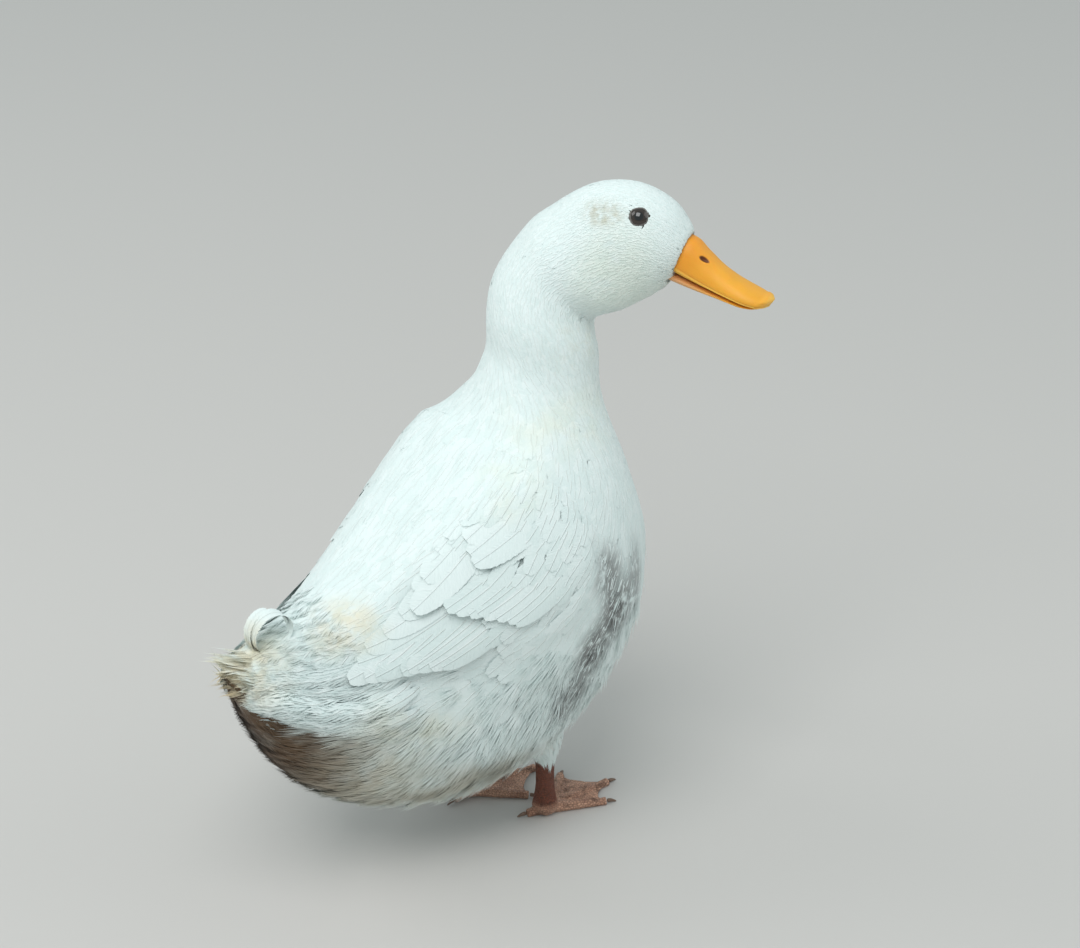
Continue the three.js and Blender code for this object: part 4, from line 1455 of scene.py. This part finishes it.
class DrakeBill(bpy.types.PropertyGroup):
    colour: FloatVectorProperty(name="Bill", description="Colour of the bill", subtype="COLOR",
        default=(0.92, 0.42, 0.030))
    root: FloatVectorProperty(name="Bill's root", description="Colour of the bill by the face",
        subtype="COLOR", default=(0.86, 0.28, 0.012))
    edge: FloatVectorProperty(name="Bill's edge", description="Colour of the bill's rim and nail",
        subtype="COLOR", default=(0.96, 0.62, 0.11))
    # painted shade inside the nostrils' openings
    nostril_shade: FloatVectorProperty(name="Nostrils", description="Colour inside the nostrils",
        subtype="COLOR", default=(0.16, 0.045, 0.012))


class DRAKE_OT_bill(bpy.types.Operator):
    """The upper bill with its nostrils, nail and rim, and the lower bill"""

    bl_idname = "drake.bill"
    bl_label = "Bill"

    def execute(self, context):
        for label, rings, level, detail in (
            ("upper", UPPER_BILL, UPPER_LEVEL, upper_detail),
            ("lower", LOWER_BILL, LOWER_LEVEL, flush),
        ):
            last = len(rings) - 1
            horn = Surface(loft(bill_rings(rings, level), *BILL_GRID), last, bill_unwrap(last))
            horn = horn.raised(detail)
            name = "bill_" + label
            piece = grid_piece(name + "_horn", horn, *BILL_SKIN_GRID, flush, False)
            piece.data.materials.append(bill_material(name, label == "lower"))
            dressed(piece, [name])
        return {"FINISHED"}


# ---- eyes


def eye_frame(sign):
    """The middle of an eye and its axes: outwards, forwards and up."""
    t, angle = np.array(EYE_RING), np.array(sign * math.radians(EYE_ANGLE))
    point, normal, _, _ = BODY.read(t, angle)
    middle = point - normal * EYE_SUNK_MM * MM
    ahead = HEAD_AXES[:, 0] - normal * (HEAD_AXES[:, 0] @ normal)
    ahead = ahead / np.linalg.norm(ahead)
    return middle, normal, ahead, np.cross(normal, ahead) * sign


# The lids' section: distance from the eye's axis and height above its middle, in mm.
LID_SECTION = [(8.4, 0.2), (7.5, 1.4), (6.8, 2.2), (6.2, 2.9), (5.7, 3.55), (5.3, 4.05), (5.0, 4.3)]
LID_SECTION += [(4.88, 4.15), (5.2, 3.0), (6.5, 0.9), (7.3, -0.4)]


IRIS = (0.012, 0.007, 0.005), (0.035, 0.018, 0.010)
PUPIL = (0.002, 0.002, 0.0025)
LID = (0.07, 0.06, 0.055), (0.22, 0.20, 0.18)


def eye_material():
    maker = Maker("eye")
    place = maker.place()
    iris = maker.noise(place, 2200, 3, 0.6)
    colour = maker.mix(iris, *IRIS)
    pupil = 0 * iris
    for sign in (1, -1):
        middle, out, _, _ = eye_frame(sign)
        seen = tuple(middle + out * EYE_RADIUS_MM * MM)
        apart = maker.vector("DISTANCE", place, seen, out="Value")
        pupil = pupil + maker.ramp(apart, 0.0031, 0.0026)
    colour = maker.mix(pupil, colour, PUPIL)
    return maker.finish(colour, Roughness=0.05, Coat_Weight=1.0, Coat_Roughness=0.02, IOR=1.38)


def lid_material():
    maker = Maker("lid")
    folds = maker.noise(maker.place(), 1500, 3, 0.6)
    colour = maker.mix(folds, *LID)
    return maker.finish(colour, maker.bump(folds, 0.0003), Roughness=0.55)


class DRAKE_OT_eyes(bpy.types.Operator):
    """Glossy dark eyes with thin pale lids"""

    bl_idname = "drake.eyes"
    bl_label = "Eyes"

    def execute(self, context):
        eye, lid = eye_material(), lid_material()
        for name, sign in (("left", 1), ("right", -1)):
            middle, out, ahead, up = eye_frame(sign)
            bpy.ops.object.select_all(action="DESELECT")
            bpy.ops.mesh.primitive_uv_sphere_add(segments=64, ring_count=32,
                radius=EYE_RADIUS_MM * MM, location=middle)
            ball = context.object
            ball.name = ball.data.name = "eyeball_" + name
            ball.rotation_euler = Vector(out).to_track_quat("Z", "Y").to_euler()
            bpy.ops.object.transform_apply(location=True, rotation=True, scale=True)
            bpy.ops.object.shade_smooth()
            ball.data.materials.append(eye)
            dressed(ball, ["eye_" + name])

            bpy.ops.object.select_all(action="DESELECT")
            bpy.ops.mesh.primitive_circle_add(vertices=64, radius=LID_SECTION[0][0] * MM)
            ring = context.object
            ring.name = ring.data.name = "eyelids_" + name
            bpy.ops.object.mode_set(mode="EDIT")
            bpy.ops.mesh.select_all(action="SELECT")
            for (wide, low), (narrow, high) in zip(LID_SECTION, LID_SECTION[1:]):
                bpy.ops.mesh.extrude_region_move()
                bpy.ops.transform.resize(value=[narrow / wide] * 2 + [1])
                bpy.ops.transform.translate(value=(0, 0, (high - low) * MM))
            bpy.ops.object.mode_set(mode="OBJECT")
            self.shape_lid(ring, middle, out, ahead, up)
            bpy.ops.object.mode_set(mode="EDIT")
            bpy.ops.mesh.select_all(action="SELECT")
            bpy.ops.mesh.normals_make_consistent(inside=False)
            bpy.ops.object.mode_set(mode="OBJECT")
            bpy.ops.object.shade_smooth()
            ring.data.materials.append(lid)
            dressed(ring)
        return {"FINISHED"}

    @staticmethod
    def shape_lid(ring, middle, out, ahead, up):
        """Stands the ring on the eye and draws its opening out towards its corners."""
        first = LID_SECTION[0][1]
        for vertex in ring.data.vertices:
            x, y, z = vertex.co
            turned = math.atan2(y, x)
            draw = 1 + 0.07 * math.cos(2 * turned) * smooth(math.hypot(x, y), 0.0075, 0.0055)
            height = z + first * MM
            point = middle + out * height + ahead * x * draw + up * y * (2 - draw)
            vertex.co = point


# ---- legs

# Each leg: its side, the ankle's x and y in mm from between the hips, the height of the
# feathers' lower edge above the floor, and the seed of its coat.
LEGS = {
    "right": {"sign": -1, "ankle": (9, -38), "cuff": 50, "seed": 52},
    "left": {"sign": 1, "ankle": (-19, 10), "cuff": 31, "seed": 51},
}
LEG_VOXEL, LEG_ROUNDS = 0.0007, 4  # of the remesh that closes up a leg, and of its smoothing
THIGH_LAST = 3  # a thigh's rings are counted from its cuff, 0, up to the hip
THIGH_GRID = (61, 72)
# Share of the way to the hip, half width and half depth.
THIGH_STATIONS = [(0, 9.5, 9.5), (0.15, 12.5, 13.5), (0.5, 17, 20), (1, 21, 26)]
TOES = ("inner", "middle", "outer", "hind")


def thigh_surface(leg):
    """The thigh's skin from the cuff up to the hip."""
    x, y = leg["ankle"]
    cuff = np.array([x - 0.08 * leg["cuff"], y + leg["sign"] * 0.1 * leg["cuff"], leg["cuff"]])
    hip = np.array([x * 0.35 - 2, leg["sign"] * 37, leg["cuff"] + 50])
    share = np.linspace(0, 1, THIGH_GRID[0])
    stations = np.array(THIGH_STATIONS)
    wide, deep = (np.interp(share, stations[:, 0], stations[:, k]) for k in (1, 2))
    centre = cuff + (hip - cuff) * share[:, None]
    angle = np.linspace(0, 2 * np.pi, THIGH_GRID[1], endpoint=False)
    up = unit(hip - cuff)
    side = unit(np.cross([0, 1.0, 0], up))
    other = np.cross(side, up)
    ring = side * np.cos(angle)[:, None]
    points = centre[:, None] + ring[None] * deep[:, None, None]
    points = points + (other * np.sin(angle)[:, None])[None] * wide[:, None, None]
    return Surface(from_solid(points), THIGH_LAST, leg_unwrap(leg["sign"]))


def leg_unwrap(sign):
    def uv(t, angle):
        apart = 0.0 if sign > 0 else THIGH_UV_APART
        u = UV_MARGIN + THIGH_UV_LONG * t / THIGH_LAST + apart
        v = THIGH_UV_ABOVE + THIGH_UV_ROUND * ((angle / (2 * np.pi) + 0.5) % 1)
        return np.stack([u, v], -1)

    return uv


def smooth_copy(name, nodes, voxel=0, rounds=0):
    """One smooth shape from copies of solids: closed up by a fine remesh, or without a voxel
    size only rounded."""
    bpy.ops.object.select_all(action="DESELECT")
    copies = []
    for node in nodes:
        source = bpy.data.objects[node]
        copy = bpy.data.objects.new(name, source.data.copy())
        copy.data.materials.clear()
        bpy.context.scene.collection.objects.link(copy)
        copy.select_set(True)
        copies.append(copy)
    bpy.context.view_layer.objects.active = copies[0]
    if len(copies) > 1:
        bpy.ops.object.join()
    piece = bpy.context.object
    piece.name = piece.data.name = name
    bpy.ops.object.mode_set(mode="EDIT")
    bpy.ops.mesh.select_all(action="SELECT")
    bpy.ops.mesh.remove_doubles(threshold=1e-6)
    bpy.ops.object.mode_set(mode="OBJECT")
    if voxel:
        remesh = piece.modifiers.new("remesh", "REMESH")
        remesh.mode, remesh.voxel_size = "VOXEL", voxel
        bpy.ops.object.modifier_apply(modifier=remesh.name)
        relax = piece.modifiers.new("relax", "SMOOTH")
        relax.factor, relax.iterations = 0.5, rounds
        bpy.ops.object.modifier_apply(modifier=relax.name)
    else:
        rounded = piece.modifiers.new("rounded", "SUBSURF")
        rounded.levels = rounded.render_levels = 2
        bpy.ops.object.modifier_apply(modifier=rounded.name)
    bpy.ops.object.shade_smooth()
    return piece


class DrakeLegs(bpy.types.PropertyGroup):
    web: FloatVectorProperty(name="Web", description="Colour of the webs", subtype="COLOR",
        default=(0.68, 0.38, 0.26))
    shank: FloatVectorProperty(name="Shank", description="Colour of the shanks and toes",
        subtype="COLOR", default=(0.20, 0.055, 0.026))
    mud: FloatVectorProperty(name="Mud", description="Colour of dried mud", subtype="COLOR",
        default=(0.085, 0.045, 0.03))
    claw: FloatVectorProperty(name="Claw", description="Colour of the claws", subtype="COLOR",
        default=(0.10, 0.06, 0.04))


def leg_material():
    colours = bpy.context.scene.drake_legs
    maker = Maker("leg")
    place = maker.place()
    _, _, height = maker.split(place)
    patches = maker.noise(place, 70, 4, 0.6)
    colour = maker.mix(maker.ramp(height, 0.005, 0.014), tuple(colours.web), tuple(colours.shank))
    colour = maker.mix(maker.ramp(patches, 0.42, 0.7) * 0.5, colour, tuple(colours.shank))
    scales = maker.node("ShaderNodeTexVoronoi", {"feature": "DISTANCE_TO_EDGE"}, out="Distance",
        Vector=maker.vector("MULTIPLY", place, (1.0, 1.0, 1.25)), Scale=520.0)
    crack = maker.ramp(scales, 0.12, 0.0)
    colour = maker.mix(crack * 0.55, colour, tuple(0.3 * x for x in colours.shank))
    mud = maker.ramp(maker.noise(place, 130, 5, 0.65), 0.52, 0.66)
    colour = maker.mix(mud * 0.65, colour, tuple(colours.mud))
    bump = maker.bump(maker.ramp(scales, 0.0, 0.25) + mud * 0.8, 0.0006)
    rough = 0.48 + mud * 0.35
    return maker.finish(colour, bump, Roughness=rough)


def claw_material():
    maker = Maker("claw")
    place = maker.place()
    growth = maker.noise(maker.vector("MULTIPLY", place, (300, 300, 900)), 1.0, 3, 0.6)
    colour = tuple(bpy.context.scene.drake_legs.claw)
    colour = maker.mix(growth, colour, tuple(2.4 * x for x in colour))
    return maker.finish(colour, maker.bump(growth, 0.0002), Roughness=0.42)


class DRAKE_OT_legs(bpy.types.Operator):
    """Feathered thighs, scaly shanks and webbed feet, and the claws"""

    bl_idname = "drake.legs"
    bl_label = "Legs"

    def execute(self, context):
        coat_of_thigh = plumage_material("thigh")
        leg_skin, horn = leg_material(), claw_material()
        for name, leg in LEGS.items():
            surface = thigh_surface(leg)
            feathers = Feathers("coat_thigh_" + name, leg["seed"])
            random = feathers.random
            t, angle = scatter(surface, lambda t, angle: 4.2 * MM + 0 * t, lambda t, angle: t >= 0,
                53)
            heading = lie(surface, t, angle, 0.0, random, 14)
            length = (9 + 7 * random.random(len(t))) * MM
            lay(feathers, surface, PLUME, t, angle, heading, (length, 3.6 * MM),
                (-2.5 + 2.5 * np.clip(PLUME.s, 0, 1)) * MM, camber=0.4 * MM, ragged=0.5, bow=0.1)
            feathers.build(coat_of_thigh)
            leg_nodes = ["shank_" + name, "foot_" + name]
            piece = smooth_copy("leg_" + name, leg_nodes, LEG_VOXEL, LEG_ROUNDS)
            piece.data.materials.append(leg_skin)
            dressed(piece, leg_nodes)
            for toe in TOES:
                node = f"claw_{toe}_{name}"
                claw = smooth_copy(node + "_horn", [node])
                claw.data.materials.append(horn)
                dressed(claw, [node])
        return {"FINISHED"}


# ---- stage


class DRAKE_OT_stage(bpy.types.Operator):
    """A pale floor, soft lights and the camera"""

    bl_idname = "drake.stage"
    bl_label = "Stage"

    ANKLE = (0.049, -0.029, 0.0)
    OFF_AXIS = (0.00166667, -0.11266667)  # its slope right of the camera's axis and above it
    FLOOR_SIZE, FLOOR_COLOUR = 12, (0.58, 0.555, 0.53)
    SKY_COLOUR, SKY_STRENGTH = (0.84, 0.97, 1.0, 1), 0.55
    LIT_AT = (0, 0, 0.2)
    LIGHTS = (  # name, place, size and power
        ("key", (-1.2, -0.7, 2.8), 2.0, 52),
        ("fill", (2.2, -1.4, 1.4), 2.0, 10),
        ("rim", (-1.4, 1.8, 2.0), 1.6, 14),
    )

    def execute(self, context):
        settings = context.scene.drake_stage
        azimuth, elevation = math.radians(settings.azimuth), math.radians(settings.elevation)
        back = Vector((math.sin(azimuth) * math.cos(elevation),
            -math.cos(azimuth) * math.cos(elevation), math.sin(elevation)))
        right = Vector((math.cos(azimuth), math.sin(azimuth), 0))
        up = back.cross(right)
        aim = Vector(self.ANKLE)
        aim -= right * self.OFF_AXIS[0] * settings.distance
        aim -= up * self.OFF_AXIS[1] * settings.distance
        lens = bpy.data.cameras.new("camera")
        lens.lens = settings.lens
        camera = bpy.data.objects.new("camera", lens)
        camera.location = aim + back * settings.distance
        camera.rotation_euler = back.to_track_quat("Z", "Y").to_euler()
        context.scene.collection.objects.link(camera)
        context.scene.camera = camera

        bpy.ops.object.select_all(action="DESELECT")
        bpy.ops.mesh.primitive_plane_add(size=self.FLOOR_SIZE)
        floor = context.object
        floor.name = "floor"
        maker = Maker("floor")
        floor.data.materials.append(maker.finish(self.FLOOR_COLOUR, Roughness=0.9))

        context.scene.view_settings.view_transform = "Standard"
        for name, place, size, power in self.LIGHTS:
            bpy.ops.object.light_add(type="AREA", location=place)
            light = context.object
            light.name = name
            light.data.size = size
            light.data.energy = power
            toward = Vector(self.LIT_AT) - light.location
            light.rotation_euler = toward.to_track_quat("-Z", "Y").to_euler()
        world = bpy.data.worlds.new("studio")
        world.use_nodes = True
        background = world.node_tree.nodes["Background"]
        background.inputs["Color"].default_value = self.SKY_COLOUR
        background.inputs["Strength"].default_value = self.SKY_STRENGTH
        context.scene.world = world
        return {"FINISHED"}


# ---- add-on

GROUPS = {
    "drake_plumage": DrakePlumage,
    "drake_bill": DrakeBill,
    "drake_legs": DrakeLegs,
    "drake_stage": DrakeStage,
}
OPERATORS = [
    DRAKE_OT_skin,
    DRAKE_OT_coat,
    DRAKE_OT_wings,
    DRAKE_OT_tail,
    DRAKE_OT_bill,
    DRAKE_OT_eyes,
    DRAKE_OT_legs,
    DRAKE_OT_stage,
]


class DRAKE_PT_panel(bpy.types.Panel):
    """Sizes and colours of the drake, and its pieces in the order that they are made"""

    bl_idname = "DRAKE_PT_panel"
    bl_label = "Drake"
    bl_space_type = "VIEW_3D"
    bl_region_type = "UI"
    bl_category = "Drake"

    def draw(self, context):
        for label, group in GROUPS.items():
            for key in group.__annotations__:
                self.layout.prop(getattr(context.scene, label), key)
        for operator in OPERATORS:
            self.layout.operator(operator.bl_idname)


def register():
    for made in [*GROUPS.values(), *OPERATORS, DRAKE_PT_panel]:
        bpy.utils.register_class(made)
    for label, group in GROUPS.items():
        setattr(bpy.types.Scene, label, PointerProperty(type=group))


def unregister():
    for label in GROUPS:
        delattr(bpy.types.Scene, label)
    for made in [DRAKE_PT_panel, *reversed(OPERATORS), *GROUPS.values()]:
        bpy.utils.unregister_class(made)


def main():
    register()
    for operator in OPERATORS:
        group, name = operator.bl_idname.split(".")
        getattr(getattr(bpy.ops, group), name)()


if __name__ == "__main__":
    main()
